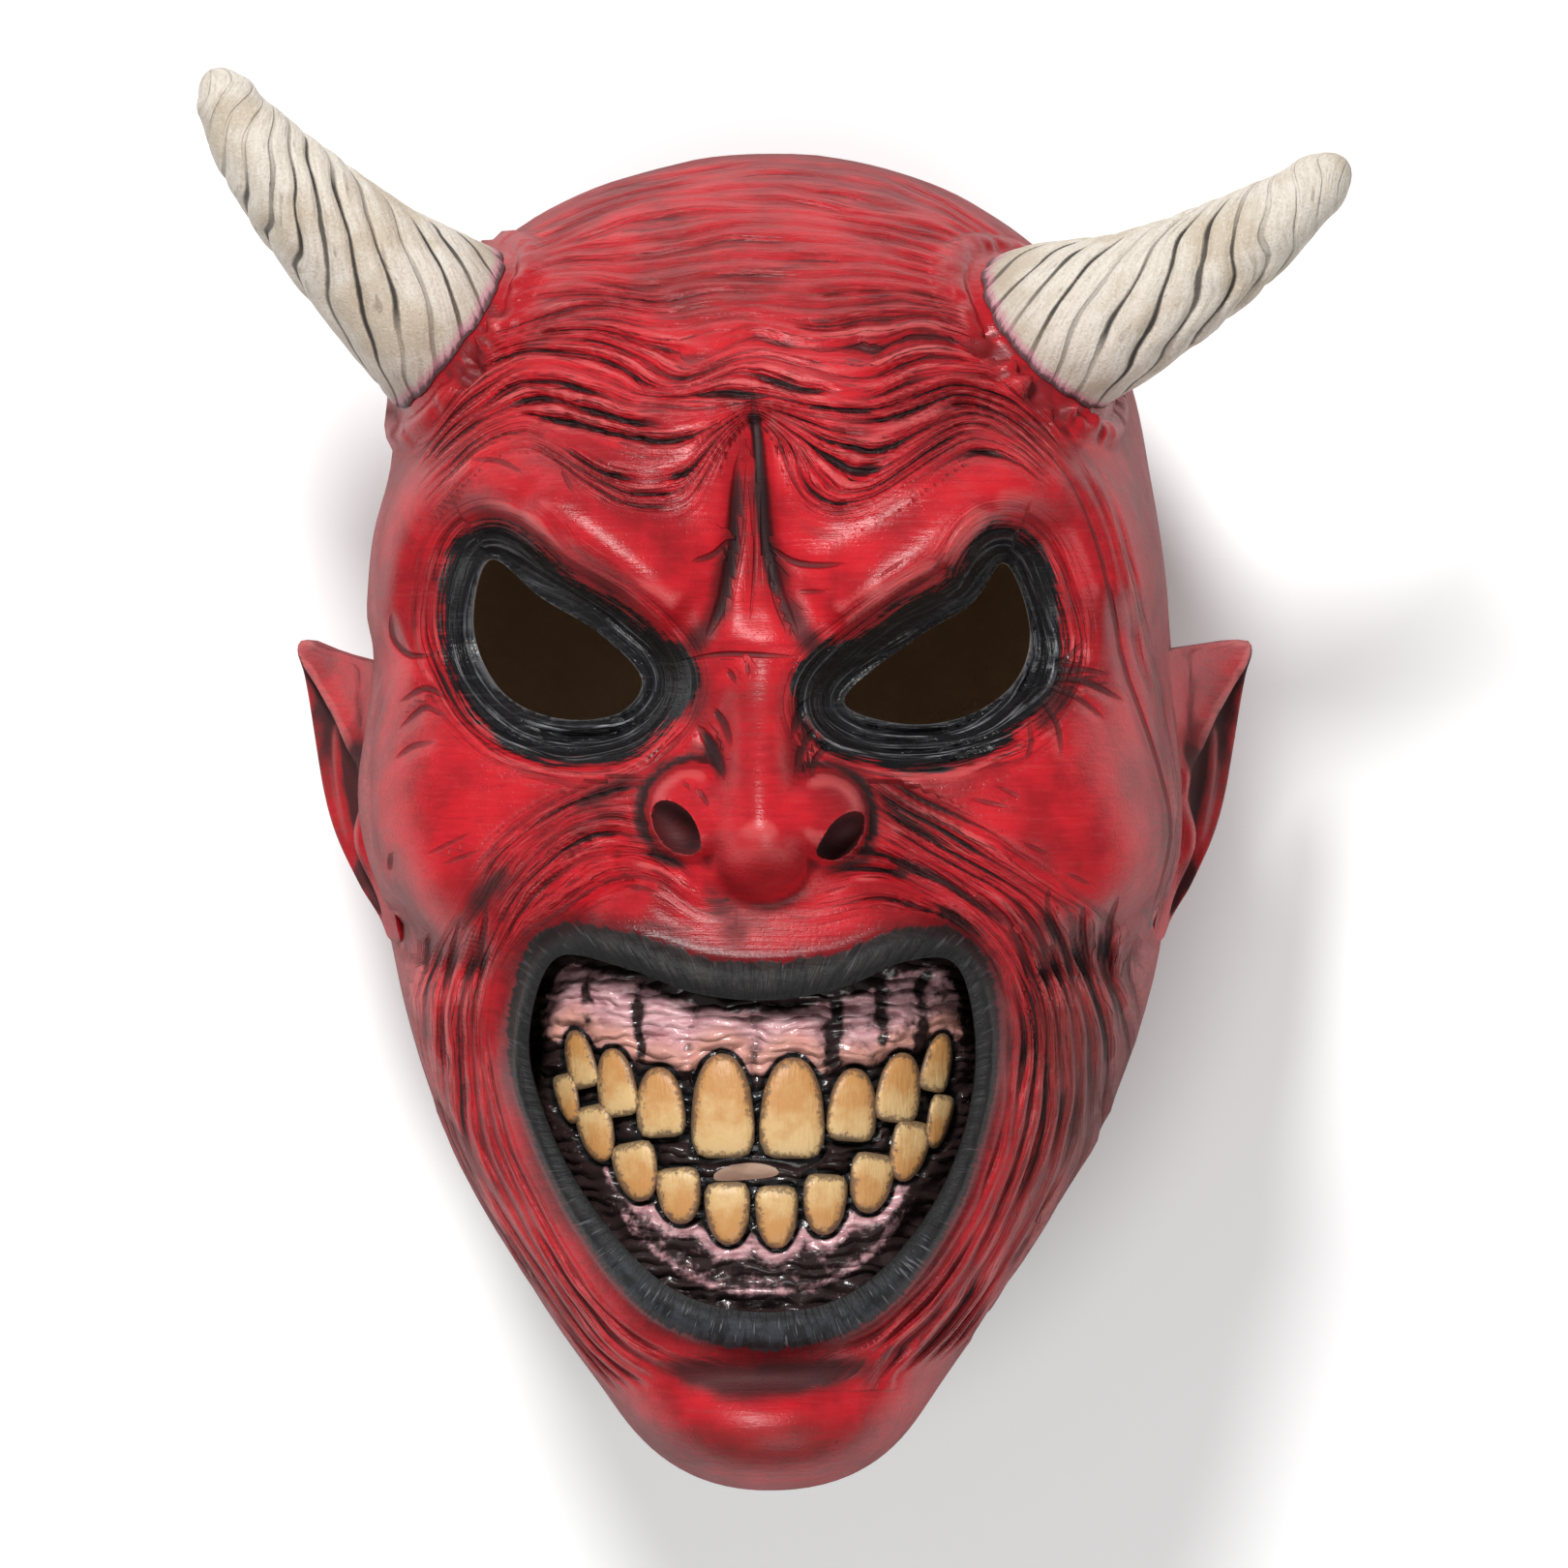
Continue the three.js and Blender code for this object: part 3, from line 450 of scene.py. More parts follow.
def folds(p):
    """At each place (along, across, strength) of the strongest family of folds, and their height."""
    x, y = seen(p)
    smooth = np.prod([1 - bell(np.hypot(x - cx, y - cy), r) for cx, cy, r in SMOOTH_PLACES], axis=0)
    found = [(*family(x, y, *made[:3]), made[3]) for made in FAMILIES]
    for i, (line, corner) in enumerate(zip(EYE_LINES, EYE_CORNERS)):
        found.append((*eye_folds(p[:, 0], p[:, 1], line, corner), 41 + i))
    flows, heights, weights = [], [], []
    for i, (along, across, strength, seed) in enumerate(found):
        depth = EYE_FOLD_DEPTH
        if i < len(FAMILIES):
            strength = strength * smooth
            depth = FOLD_DEPTH
        bend = 0.75 * drift(along / 24, across * 0.4, seed)
        across = across + bend + 0.15 * drift(along / 8, across * 0.8, seed + 5)
        fold = np.round(across)
        patchy = np.clip(0.72 + 0.75 * drift(along / 12, fold * 5.37, seed + 1), 0.05, 1.1)
        valley = 0.5 + 0.5 * np.cos(2 * np.pi * across)
        heights.append(-depth * strength * (patchy * valley**1.3 - 0.3))
        flows.append(np.stack([along / 10, across, strength * patchy], axis=-1))
        weights.append(np.maximum(strength, 1e-4) ** 4)
    weights = np.array(weights) / np.sum(weights, axis=0)
    best = np.argmax(weights, axis=0)
    rows = np.arange(len(p))
    flow = np.array(flows)[best, rows]
    flow[:, 2] *= smoothstep(weights[best, rows], 0.5, 0.7)
    facing = smoothstep(p[:, 2], *FOLDED_FROM_Z)
    flow[:, 2] *= facing
    return flow, np.sum(np.array(heights) * weights, axis=0) * facing


# %% [markdown]
# ## Single cuts, stains and painted shade
#
# Some creases stand alone: the two deep grooves between the brows, crow's feet, and short nicks on the
# cheeks. Each is a short line with a width and a depth. Stains are wide soft lines where the dark wash
# of paint has pooled; they also paint the shade under the nose and its wings, under the brows and the
# cheeks, and in the creases. A cut keeps its signed distance, so the paint can draw it as a crisp line
# that is finer than the mesh.

# %% Cuts, stains and painted shade
CUTS = [
    ([(-8.3, 60), (-8.8, 50), (-9.3, 41), (-10.3, 33), (-12.3, 25), (-15.5, 18)], 2.3, 2),
    ([(-5, 74), (-3.8, 64), (-3.2, 54), (-2.4, 44), (-1, 36), (1.2, 28), (5.5, 18)], 2.3, 2),
    ([(-19, 35.5), (-14, 37), (-10, 41)], 1.1, 0.9),
    ([(-1, 39), (4, 35.5), (10, 34.5), (16, 35)], 1.1, 0.9),
    ([(5, 28.5), (12, 28.5)], 0.8, 0.4),
    ([(-22, 12.5), (-12, 14.2), (-4, 14), (5, 13.5)], 0.9, 0.8),
    ([(-49, 57), (-46, 51)], 0.8, 0.4),
    ([(-70, 59), (-63, 58.5), (-58, 56)], 0.9, 0.6),
    ([(24, 32), (30, 36)], 0.5, 0.3),
    ([(36, 33), (40, 38)], 0.5, 0.3),
    ([(-75, 4), (-80, 6.4), (-86, 3)], 1, 0.8),
    ([(-76, 0), (-80, 2), (-86, -3)], 0.9, 0.7),
    ([(-78, -6), (-83, -7), (-87, -10)], 0.9, 0.6),
    ([(-88, 24), (-87.5, 18), (-84, 14), (-78, 14)], 1, 0.9),
    ([(60, 11), (66, 12.5), (71, 17)], 1.0, 0.8),
    ([(61, 10), (69, 10.8), (77, 9.5)], 1.0, 0.9),
    ([(62, 8.5), (71, 8), (80, 3.5)], 1.1, 1),
    ([(62, 7), (70, 4), (76, -1)], 0.9, 0.7),
    ([(61, 4), (65, -2), (66, -9)], 1.0, 0.8),
    ([(58, 0), (59, -6), (58, -10)], 0.9, 0.6),
    ([(45, -19), (54, -21)], 0.8, 0.5),
    ([(51, -16), (57, -19)], 0.7, 0.4),
    ([(57, -29), (63, -32)], 0.7, 0.4),
    ([(67, -36), (73, -39)], 0.7, 0.4),
    ([(24, -19), (32, -25), (42, -31)], 1.1, 1),
    ([(31, -32.5), (38, -37), (47, -43.5), (55, -49.5)], 1.1, 1),
    ([(-17.5, -2), (-13.8, -8), (-11.5, -14)], 1.8, 1.1),
    ([(-14, 2), (-11.5, -2), (-10, -7)], 1.3, 0.8),
    ([(-11, 11), (-8.5, 7.5)], 1, 0.7),
    ([(-6.5, 12.5), (-5.8, 9)], 0.8, 0.4),
    ([(5, 11.5), (3.2, 7.5)], 0.9, 0.5),
    ([(8, 4), (5.6, 0), (4.4, -5)], 1.6, 1),
    ([(9.5, -3), (6.6, -7), (5.2, -13)], 1.6, 1),
    ([(13, -6), (9.6, -10), (8.4, -14)], 1.3, 0.8),
    ([(-6.5, 58), (-7, 42), (-10, 24)], 0.6, 0.35),
    ([(-4.6, 52), (-4.4, 36), (-5.5, 22)], 0.6, 0.35),
    ([(-1.5, 36), (0, 27), (3, 19)], 0.6, 0.35),
    ([(46, -40), (54, -48), (59, -60), (62, -72)], 1.3, 0.8),
    ([(56, -43), (61, -51), (64, -64)], 1.3, 0.7),
    ([(63, -39), (63, -46), (67, -54), (69, -66)], 1.3, 0.8),
    ([(71, -43), (70.5, -50), (73, -62)], 1.3, 0.7),
    ([(79, -41), (76.5, -49), (77.5, -62)], 1.2, 0.6),
    ([(-66, -43), (-67, -51), (-70, -62)], 1.0, 0.9),
    ([(-72, -46), (-74, -54), (-76, -64)], 0.9, 0.8),
    ([(-88, -31), (-88.2, -36)], 1, 0.7),
    ([(-79.5, -50), (-80, -60)], 1.2, 0.9),
    ([(-21, -15), (-19, -17)], 0.7, 0.5),
    ([(-17.5, -16.5), (-15, -21)], 0.8, 0.6),
    ([(62, 62), (69, 52), (74, 40), (77.5, 26), (80, 12), (85, -2), (89, -15), (91, -26), (89, -37),
      (86, -46)], 0.8, 0.6),
    ([(-70, -27), (-80, -32)], 0.7, 0.4),
    ([(-68, -31), (-76, -34)], 0.7, 0.4),
]
STAINS_AND_SHADE = [
    ([(-28, -149), (-5, -152.5), (24, -149)], 4.6, 1.05),
    ([(-72, -49), (-66, -40), (-60, -34)], 2.6, 0.75),
    ([(44, -39), (56, -48), (68, -53), (84, -50)], 7, 0.46),
    ([(-14, -9), (-20, -9.4), (-27, -12.6), (-30.8, -18.6), (-31, -26), (-26.6, -32.6)], 1.4, 0.9),
    ([(7, -11.5), (12.5, -10.8), (19, -14), (22.6, -20.6), (22.4, -27.6), (18.5, -33)], 1.4, 0.9),
    ([(-30, -26), (-26, -32), (-18, -34.5)], 2, 0.7),
    ([(24.5, -27), (20, -33), (11, -35.5)], 2, 0.7),
    ([(-14, -38), (-9, -43.6), (-3, -45), (3.5, -43), (8.5, -37)], 1.8, 0.45),
    ([(61, 16), (64, 8), (61, -4)], 5, 0.8),
    ([(64, 9), (71, 8), (78, 6)], 3, 0.4),
    ([(-46, -21.5), (-38, -17), (-30, -13.5)], 2.6, 0.8),
    ([(-48, -28), (-40, -23.5), (-33, -22)], 2.2, 0.6),
    ([(17, -10.5), (24, -16), (33, -22.5), (44, -29), (54, -35)], 2.2, 0.55),
    ([(-20, -6.5), (-15, -8), (-12.5, -12), (-13, -15)], 1.9, 0.8),
    ([(-17, -5), (-11, -7)], 1.2, 0.7),
    ([(-6, 13), (-6, 10)], 1, 0.5),
    ([(-15, -6), (-18, 3), (-20, 14)], 5, 0.62),
    ([(7, -6), (9, 3), (12, 14)], 4.4, 0.62),
    ([(-16, -38), (-11, -46), (-5, -55)], 5, 0.62),
    ([(-8.5, 57), (-9.3, 41), (-15, 22)], 2.8, 0.75),
    ([(-3.5, 66), (-2, 44), (5.5, 20)], 2.8, 0.75),
    ([(-10.5, 30), (-14.5, 21), (-22, 14)], 3.6, 0.8),
    ([(1.5, 30), (6, 20), (13, 12)], 3.6, 0.8),
    ([(-20, 14), (-6, 14.2), (8, 13.5)], 1, 0.4),
    ([(-16, -41), (-8, -47), (2, -50), (12, -44)], 5, 0.4),
    ([(-34, -46.5), (-26, -48.5), (-18, -49.5)], 1.4, 0.5),
    ([(5, 46), (8, 43), (13, 41.5), (20, 43)], 2.2, 0.5),
    ([(9, 51), (13, 47.5), (20, 47.5)], 1.6, 0.5),
]

CUT_DEPTH = 1.3
print(len(CUTS), "cuts and", len(STAINS_AND_SHADE), "stains_and_shade")


def cuts(x, y):
    """Signed distance to the nearest single cut, its strength, and the height it takes away."""
    best = np.full(x.size, 9.0)
    signed = np.full(x.size, 9.0)
    strength = np.zeros(x.size)
    height = np.zeros(x.size)
    for points, width, depth in CUTS:
        line = smooth_line(points, 8 if len(points) < 5 else 20)
        low, high = line.min(axis=0) - 6, line.max(axis=0) + 6
        near = np.flatnonzero((x > low[0]) & (x < high[0]) & (y > low[1]) & (y < high[1]))
        distance, side, along = nearest(x[near], y[near], line)
        taper = np.sqrt(np.clip(4 * along * (1 - along), 0.02, 1))
        height[near] -= CUT_DEPTH * depth * bell(distance, max(width, 1.3)) * taper
        closer = distance < best[near]
        spot = near[closer]
        best[spot] = distance[closer]
        signed[spot] = (distance * side / taper)[closer] / width
        strength[spot] = (min(1, 0.3 + 0.6 * depth) * bell(distance, 1.7 * width) * taper)[closer]
    return signed, strength, height


def stains_and_shade(x, y):
    # Dark wash along the listed lines, and painted shade under the nose, wings, brows and cheeks.
    total = np.zeros(x.size)
    for points, width, depth in STAINS_AND_SHADE:
        distance, _, along = nearest(x, y, smooth_line(points, 12))
        taper = np.sqrt(np.clip(4 * along * (1 - along), 0.01, 1))
        total = np.maximum(total, depth * bell(distance, width * (0.3 + 0.9 * taper)) * (0.3 + 0.7 * taper))
    return total


# %% [markdown]
# ## From a sphere to a head
#
# A UV sphere already has the right wiring: rings and columns without holes. Its columns are packed
# closer over the face, the face is subdivided once more in edit mode, and then every point moves to its
# place on the head. One helper does this for all the round forms of the mask, because ears, horns and
# teeth also start as spheres whose points are told where to go.

# %% Mesh helpers


def deselect():
    if bpy.context.object and bpy.context.object.mode != "OBJECT":
        bpy.ops.object.mode_set(mode="OBJECT")
    bpy.ops.object.select_all(action="DESELECT")


def activate(obj):
    deselect()
    obj.select_set(True)
    bpy.context.view_layer.objects.active = obj
    return obj


def points_of(obj):
    """All points of a mesh, in millimetres."""
    co = np.zeros(len(obj.data.vertices) * 3)
    obj.data.vertices.foreach_get("co", co)
    return co.reshape(-1, 3) / MM


def normals_of(obj):
    normals = np.zeros(len(obj.data.vertices) * 3)
    obj.data.vertex_normals.foreach_get("vector", normals)
    return normals.reshape(-1, 3)


def move_points(obj, p):
    obj.data.vertices.foreach_set("co", (np.asarray(p) * MM).ravel())
    obj.data.update()
    return obj


def new_sphere(name, segments, rings):
    """A sphere one millimetre in radius, with its poles above and below."""
    deselect()
    bpy.ops.mesh.primitive_uv_sphere_add(segments=segments, ring_count=rings, radius=MM)
    obj = bpy.context.object
    obj.name = obj.data.name = name
    return obj


def sphere_angles(obj):
    """Two angles of each point: round the sphere's axis, and down from its upper pole."""
    p = points_of(obj)
    p /= np.linalg.norm(p, axis=1, keepdims=True)
    return np.arctan2(p[:, 1], p[:, 0]), np.arccos(np.clip(p[:, 2], -1, 1))


def face_outwards(obj):
    activate(obj)
    bpy.ops.object.mode_set(mode="EDIT")
    bpy.ops.mesh.select_all(action="SELECT")
    bpy.ops.mesh.normals_make_consistent(inside=False)
    bpy.ops.object.mode_set(mode="OBJECT")
    return obj


def combine(obj, other, operation, keep=False):
    """Joins or cuts with another closed mesh, and applies the modifier."""
    activate(obj)
    cut = obj.modifiers.new("combine", "BOOLEAN")
    cut.operation, cut.object, cut.solver = operation, other, "MANIFOLD"
    cut.material_mode = "TRANSFER"
    before = len(obj.data.polygons)
    bpy.ops.object.modifier_apply(modifier=cut.name)
    print(f"{operation.lower()} {other.name}: {before} to {len(obj.data.polygons)} faces")
    if not keep:
        bpy.data.objects.remove(other)
    return obj


def set_values(obj, name, values):
    """Stores a value, or a row of three, on every point."""
    old = obj.data.attributes.get(name)
    if old:
        obj.data.attributes.remove(old)
    single = np.ndim(values) == 1
    made = obj.data.attributes.new(name, "FLOAT" if single else "FLOAT_VECTOR", "POINT")
    made.data.foreach_set("value" if single else "vector", np.asarray(values, float).ravel())


def get_values(obj, name):
    values = np.zeros(len(obj.data.vertices))
    obj.data.attributes[name].data.foreach_get("value", values)
    return values


# %% [markdown]
# ## Horn places
#
# The collar of puckered latex round each horn belongs to the head, so the horns' middle lines are
# needed first. A horn is a row of round sections along a curve, and the same numbers make the horn
# itself later on.

# %% Horn lines
HORNS = {
    "horn_left": dict(
        line=[(-56, 74, 118), (-76, 91, 140), (-95, 106, 151), (-111.5, 122, 159), (-123.5, 136.5, 163),
              (-129, 146.5, 165)],
        radii=[23, 22, 17.3, 13.6, 10.4, 7.4],
        hand=-1,
    ),
    "horn_right": dict(
        line=[(46, 79, 138), (64.5, 89, 156), (83, 96, 166), (101, 105.5, 173), (117.3, 116.3, 177),
              (129, 125.8, 179)],
        radii=[23, 22, 17.8, 14.2, 10.8, 7.6],
        hand=1,
    ),
}
COLLAR_HEIGHT, COLLAR_WIDTH, GLUE_GAP = 3, 8, 0.3


def collar(p):
    """Height of the puckered collars, and how near each place is to a horn's joint."""
    height = np.zeros(len(p))
    nearness = np.zeros(len(p))
    pucker = np.zeros(len(p))
    for horn in HORNS.values():
        line = smooth_line(horn["line"], 40)
        gaps = np.linalg.norm(p[:, None, :] - line[None, ::2, :], axis=2)
        best = gaps.argmin(axis=1)
        radius = ramp(horn["radii"], best / (gaps.shape[1] - 1))
        rim = gaps[np.arange(len(p)), best] - radius
        spot = p - line[::2][best]
        axis = (line[8] - line[0]) / np.linalg.norm(line[8] - line[0])
        u = np.array([0, 0, 1]) - axis[2] * axis
        turn = np.arctan2(spot @ np.cross(axis, u), spot @ u)
        ripple = 2.6 * drift(turn * 10, rim / 9, 3) + 1.1 * drift(turn * 19, rim / 7, 4)
        under = smoothstep(-spot[:, 1] / np.linalg.norm(spot, axis=1), -0.5, 0.4)
        flat = 1 - smoothstep(rim, COLLAR_WIDTH - 3, COLLAR_WIDTH + 1)
        near = flat * smoothstep(p[:, 2], 60, 90)
        pleat = ripple * smoothstep(rim, 0.5, 2) * (1 - smoothstep(rim, 7, 11))
        pleat = pleat * (1 - smoothstep(np.abs(p[:, 0]), 70, 79))
        height += near * (COLLAR_HEIGHT - 1.5 * bell(rim - 0.8, 1.2) + lerp(0.3, 1.7, under) * pleat)
        nearness = np.maximum(nearness, near)
        pucker = np.where(near > 0, ripple * under, pucker)
    return height, nearness, pucker


# %% [markdown]
# ## The outside of the head
#
# Where the face folds, the points have to lie close together. On the back of the head, which is plain,
# fewer are enough. So the sphere's columns are shared out first.

# %% Angles of the head
FACE_EDGE, FACE_TOP, FACE_END = math.radians(62), math.radians(9), math.radians(170)
FACE_COLUMNS, SIDE_COLUMNS, BACK_COLUMNS, RINGS = 72, 6, 44, 122


def head_angles(obj):
    """The two angles of the head for a sphere's points, packed closer over the face."""
    turn, down = sphere_angles(obj)
    columns = FACE_COLUMNS + 2 * SIDE_COLUMNS + BACK_COLUMNS
    half_face = FACE_COLUMNS / 2 / columns * 2 * np.pi
    half_front = (FACE_COLUMNS / 2 + SIDE_COLUMNS) / columns * 2 * np.pi
    theta = np.interp(np.abs(turn), [0, half_face, half_front, np.pi], [0, FACE_EDGE, np.pi / 2, np.pi])
    t = np.linspace(0, np.pi, 400)
    arc = np.concatenate([[0], np.cumsum(np.hypot(155 * np.sin(t[1:]), 110 * np.cos(t[1:])))])
    return theta * np.where(turn < 0, -1, 1), np.interp(down, arc / arc[-1] * np.pi, t)


# %% [markdown]
# The broad relief rises between the head's own outward direction and the way the face looks, because
# the forms were drawn as the camera sees them. Folds, cuts and collars come on top, straight out of the
# skin. A last touch of smoothing takes the hard valleys out of the nose.

# %% The head's outside
FACING_SHARE, LIP_HEIGHT = 0.8, 3.6
NOSE_BOX = dict(middle=-4, half_width=28, low=-46, high=14, from_z=150)


def raise_points(theta, t, height):
    """Relief rises between the head's own outward direction and the way the face looks."""
    plain = place_on_head(theta, t)
    rise = outward(theta, t) + [0, 0, FACING_SHARE]
    rise /= np.linalg.norm(rise, axis=1, keepdims=True)
    edge = smoothstep(np.cos(theta), 0, 0.35)
    return plain + rise * (height(plain[:, 0], plain[:, 1]) * edge)[:, None]


def lips_and_relief(x, y):
    m, _ = outside(x, y, MOUTH_LINE)
    width = lip_width(x, y)
    lip = (1 - smoothstep(m, width - 3, width + 1.2)) * (0.35 + 0.65 * smoothstep(m, -0.5, 3))
    return relief(x, y) + LIP_HEIGHT * lip + nose(x, y)


head = new_sphere("mask", FACE_COLUMNS + 2 * SIDE_COLUMNS + BACK_COLUMNS, RINGS)
activate(head)
theta, t = head_angles(head)
bpy.ops.object.mode_set(mode="EDIT")
bpy.ops.mesh.select_all(action="DESELECT")
bpy.ops.object.mode_set(mode="OBJECT")
on_face = (np.abs(theta) < FACE_EDGE + 0.001) & (t > FACE_TOP) & (t < FACE_END)
for face in head.data.polygons:
    face.select = all(on_face[i] for i in face.vertices)
bpy.ops.object.mode_set(mode="EDIT")
bpy.ops.mesh.subdivide(number_cuts=2, ngon=False)
bpy.ops.object.mode_set(mode="OBJECT")

theta, t = head_angles(head)
place = raise_points(theta, t, lips_and_relief)
own_normal = outward(theta, t)
_, fold_height = folds(place)
_, _, cut_height = cuts(*seen(place))
mouth_gap, _ = outside(place[:, 0], place[:, 1], MOUTH_LINE)
off_lips = smoothstep(mouth_gap - lip_width(place[:, 0], place[:, 1]), -1.5, 1.5)
collar_height, _, _ = collar(place)
front = smoothstep(np.cos(theta), 0, 0.35)
flat_of_collar = 1 - smoothstep(collar_height, 0.5, 2)
fine = (fold_height * off_lips * flat_of_collar + cut_height * off_lips) * front + collar_height
place = place + own_normal * fine[:, None]
place[:, 2] = np.maximum(place[:, 2], 0)
move_points(head, place)
activate(head)
x, y, z = place.T
at_nose = np.abs(x - NOSE_BOX["middle"]) < NOSE_BOX["half_width"]
at_nose &= (y > NOSE_BOX["low"]) & (y < NOSE_BOX["high"]) & (z > NOSE_BOX["from_z"])
head.data.vertices.foreach_set("select", at_nose)
bpy.ops.object.mode_set(mode="EDIT")
bpy.ops.mesh.select_mode(type="VERT")
bpy.ops.mesh.vertices_smooth(factor=0.5)
face_outwards(head)
set_values(head, "hollow", np.zeros(len(place)))
print("head", len(head.data.vertices), "points")

# %% The seat under the horns
horn_seat = head.copy()
horn_seat.data = head.data.copy()
horn_seat.name = "horn_seat"
bpy.context.collection.objects.link(horn_seat)
move_points(horn_seat, points_of(horn_seat) + GLUE_GAP * normals_of(horn_seat))

# %% [markdown]
# ## Ears
#
# Each ear is a leaf that stands out and back from the side of the head, with a rolled rim, an inner
# fold and two dark hollows. It starts as a sphere: the way down from its pole runs from the lobe to the
# pointed tip, and the way round goes once round the leaf's thin section.

# %% Ears
EAR = dict(middle_y=-16, root_z=122, half_length=38, tip=36, thickness=3, bury=7)
EAR_SPLAY = math.radians(24)
EAR_REACH = [2, 6.5, 14.5, 22, 27, 31, 35.5, 41, 47]
EAR_ROOT_TOP = {-1: 29.5, 1: 32.5}
EAR_POCKET, EAR_TRAGUS = (5, 0.56, 3, 0.1), (3, 0.34, 4.5, 0.12)
HEAD_SIDE = 0.985


def ear(side):
    obj = new_sphere("ear", 80, 60)
    turn, down = sphere_angles(obj)
    share = down / np.pi
    b = lerp(-EAR["half_length"], EAR["tip"], share)
    y = EAR["middle_y"] + b
    reach = ramp(EAR_REACH, share)
    over = np.clip((b - EAR_ROOT_TOP[side]) / (EAR["tip"] - EAR_ROOT_TOP[side]), 0, 1)
    start = np.where(over > 0, reach * over**0.5 * 0.97, -EAR["bury"])
    t = np.arccos(np.clip((y - MIDDLE_Y) / HALF_HEIGHT, -1, 1))
    root_x = place_on_head(np.full_like(t, side * np.pi / 2), t)[:, 0] * HEAD_SIDE
    front_face = turn >= 0
    a = lerp(start, reach, 0.5 - 0.5 * np.cos(np.abs(turn)))
    half = EAR["thickness"] / 2 * np.sqrt(np.clip((reach - a) / 2, 0.02, 1))
    upper = smoothstep(share, 0.42, 0.58)
    tip_fade = 1 - smoothstep(share, 0.9, 1)
    ridge_at = lerp(1, reach - 3, smoothstep(share, 0.45, 1))
    ridge = 4 * bell(a - ridge_at, 3.4) * upper * tip_fade
    rim = 1.8 * bell(reach - a - 1.2, 1.6) * smoothstep(reach, 3, 10) * tip_fade
    middle = lerp(reach * 0.62, (ridge_at + reach) / 2, upper)
    span = np.maximum(lerp(reach * 0.22, (reach - ridge_at) / 3, upper), 1.2)
    hollow = bell(a - middle, span) * smoothstep(share, 0.06, 0.16) * tip_fade
    pocket = mound(a, share, *EAR_POCKET)
    tragus = mound(a, share, *EAR_TRAGUS)
    inner = bell(a - reach * 0.74, 2.4) * smoothstep(share, 0.22, 0.36) * (1 - smoothstep(share, 0.66, 0.8))
    front = half + rim + ridge + 4 * tragus + 2 * inner - 3 * hollow - 2 * pocket
    n = 1.5 * (a / 40) ** 2 + np.where(front_face, front, -half)
    pole = (share < 1e-4) | (share > 1 - 1e-4)
    n = np.where(pole, 0, n)
    a = np.where(pole, (start + reach) / 2, a)
    out = np.array([side * math.sin(EAR_SPLAY), 0, -math.cos(EAR_SPLAY)])
    facing = np.array([side * math.cos(EAR_SPLAY), 0, math.sin(EAR_SPLAY)])
    root = np.stack([root_x, y, np.full_like(y, EAR["root_z"])], axis=-1)
    move_points(obj, root + a[:, None] * out + n[:, None] * facing)
    face_outwards(obj)
    bpy.ops.object.mode_set(mode="EDIT")
    bpy.ops.mesh.vertices_smooth(factor=0.5, repeat=3)
    bpy.ops.object.mode_set(mode="OBJECT")
    # The ear's hollows are painted dark as painted shade, with a random mottle over its front.
    dark = np.clip(1.3 * (hollow + pocket - tragus - 0.8 * inner), 0, 1.2)
    dark = dark + 0.5 * np.clip(drift(a / 2.4, y / 9, 71), 0, 1) + 0.12
    set_values(obj, "hollow", np.where(front_face, dark, 0))
    return obj


for side in (-1, 1):
    combine(head, ear(side), "UNION")

# %% [markdown]
# ### Egg shapes
#
# The nostrils are hollows that stop inside the wings. An egg is a squashed sphere turned a little about
# the view, and it is taken out of the wing later, when the casting is cut.

# %% Egg helper for the nostrils
NOSTRILS = [(-23.6, -25.8, 12, 8.2, 5.6, 10, -42), (16.4, -27.8, 12, 7.8, 5.2, 10, 32)]


def egg(name, x, y, z, rx, ry, rz, degrees):
    """A squashed sphere, its middle z above the plain face, turned about the view by an angle."""
    obj = new_sphere(name, 28, 21)
    p = points_of(obj) * [rx, ry, rz]
    p[:, 0], p[:, 1] = turned(p[:, 0], p[:, 1], degrees)
    move_points(obj, p + [x, y, float(plain_z(np.array(x), np.array(y))) + z])
    # These faces line the nostril, which is painted dark: painted shade.
    set_values(obj, "hollow", np.ones(len(p)))
    return obj


# %% [markdown]
# ## Mouth
#
# Between the lips lies a deep hollow whose floor is the gums. The floor is a fine grid with the gums'
# relief: an arch, a moat and a swelling round every tooth, low knobs, and upright furrows. Pulled up
# into a block and trimmed to the mouth's outline, it becomes one cutter. The teeth are rounded plates
# joined to the floor afterwards.

# %% Teeth and gums
GUM_X, GUM_FRONT_Z, GUM_ARCH, GUM_MIDDLE_Y, GUM_BOW = -4, 207, 58, -103, 0.0011
UPPER_TEETH = [
    (-44.8, -79, 6.4, 13, 14), (-36.4, -84.2, 8.6, 15.2, 9), (-26.2, -88.6, 10.6, 15.6, 4),
    (-11.9, -89.3, 13.8, 23.4, 1), (4.1, -89.8, 14.2, 22.6, -1), (17.9, -89.2, 10.6, 16.2, -4),
    (28.7, -85.4, 9.6, 15.6, -9), (37.6, -79.8, 6.2, 13, -13),
]
LOWER_TEETH = [
    (-47.6, -88.2, 4.8, 11, 14), (-40.8, -96, 7.8, 12.6, 14), (-31.6, -104.6, 9.6, 13.2, 12),
    (-21.8, -110, 9.6, 12.4, 6), (-10.7, -114, 9.8, 13.8, 2), (0.5, -114.8, 9.2, 13.8, 0),
    (11.5, -112, 9.4, 13.4, -4), (22.1, -107.2, 9.4, 13.2, -10), (30.8, -100, 8.2, 13.6, -15),
    (37.8, -93.4, 5, 12, -13),
]
SLIT, SLIT_LEAN = (-6.5, -103.6, 7.5, 1.9), 1.4
TOOTH_MORE = 0.7
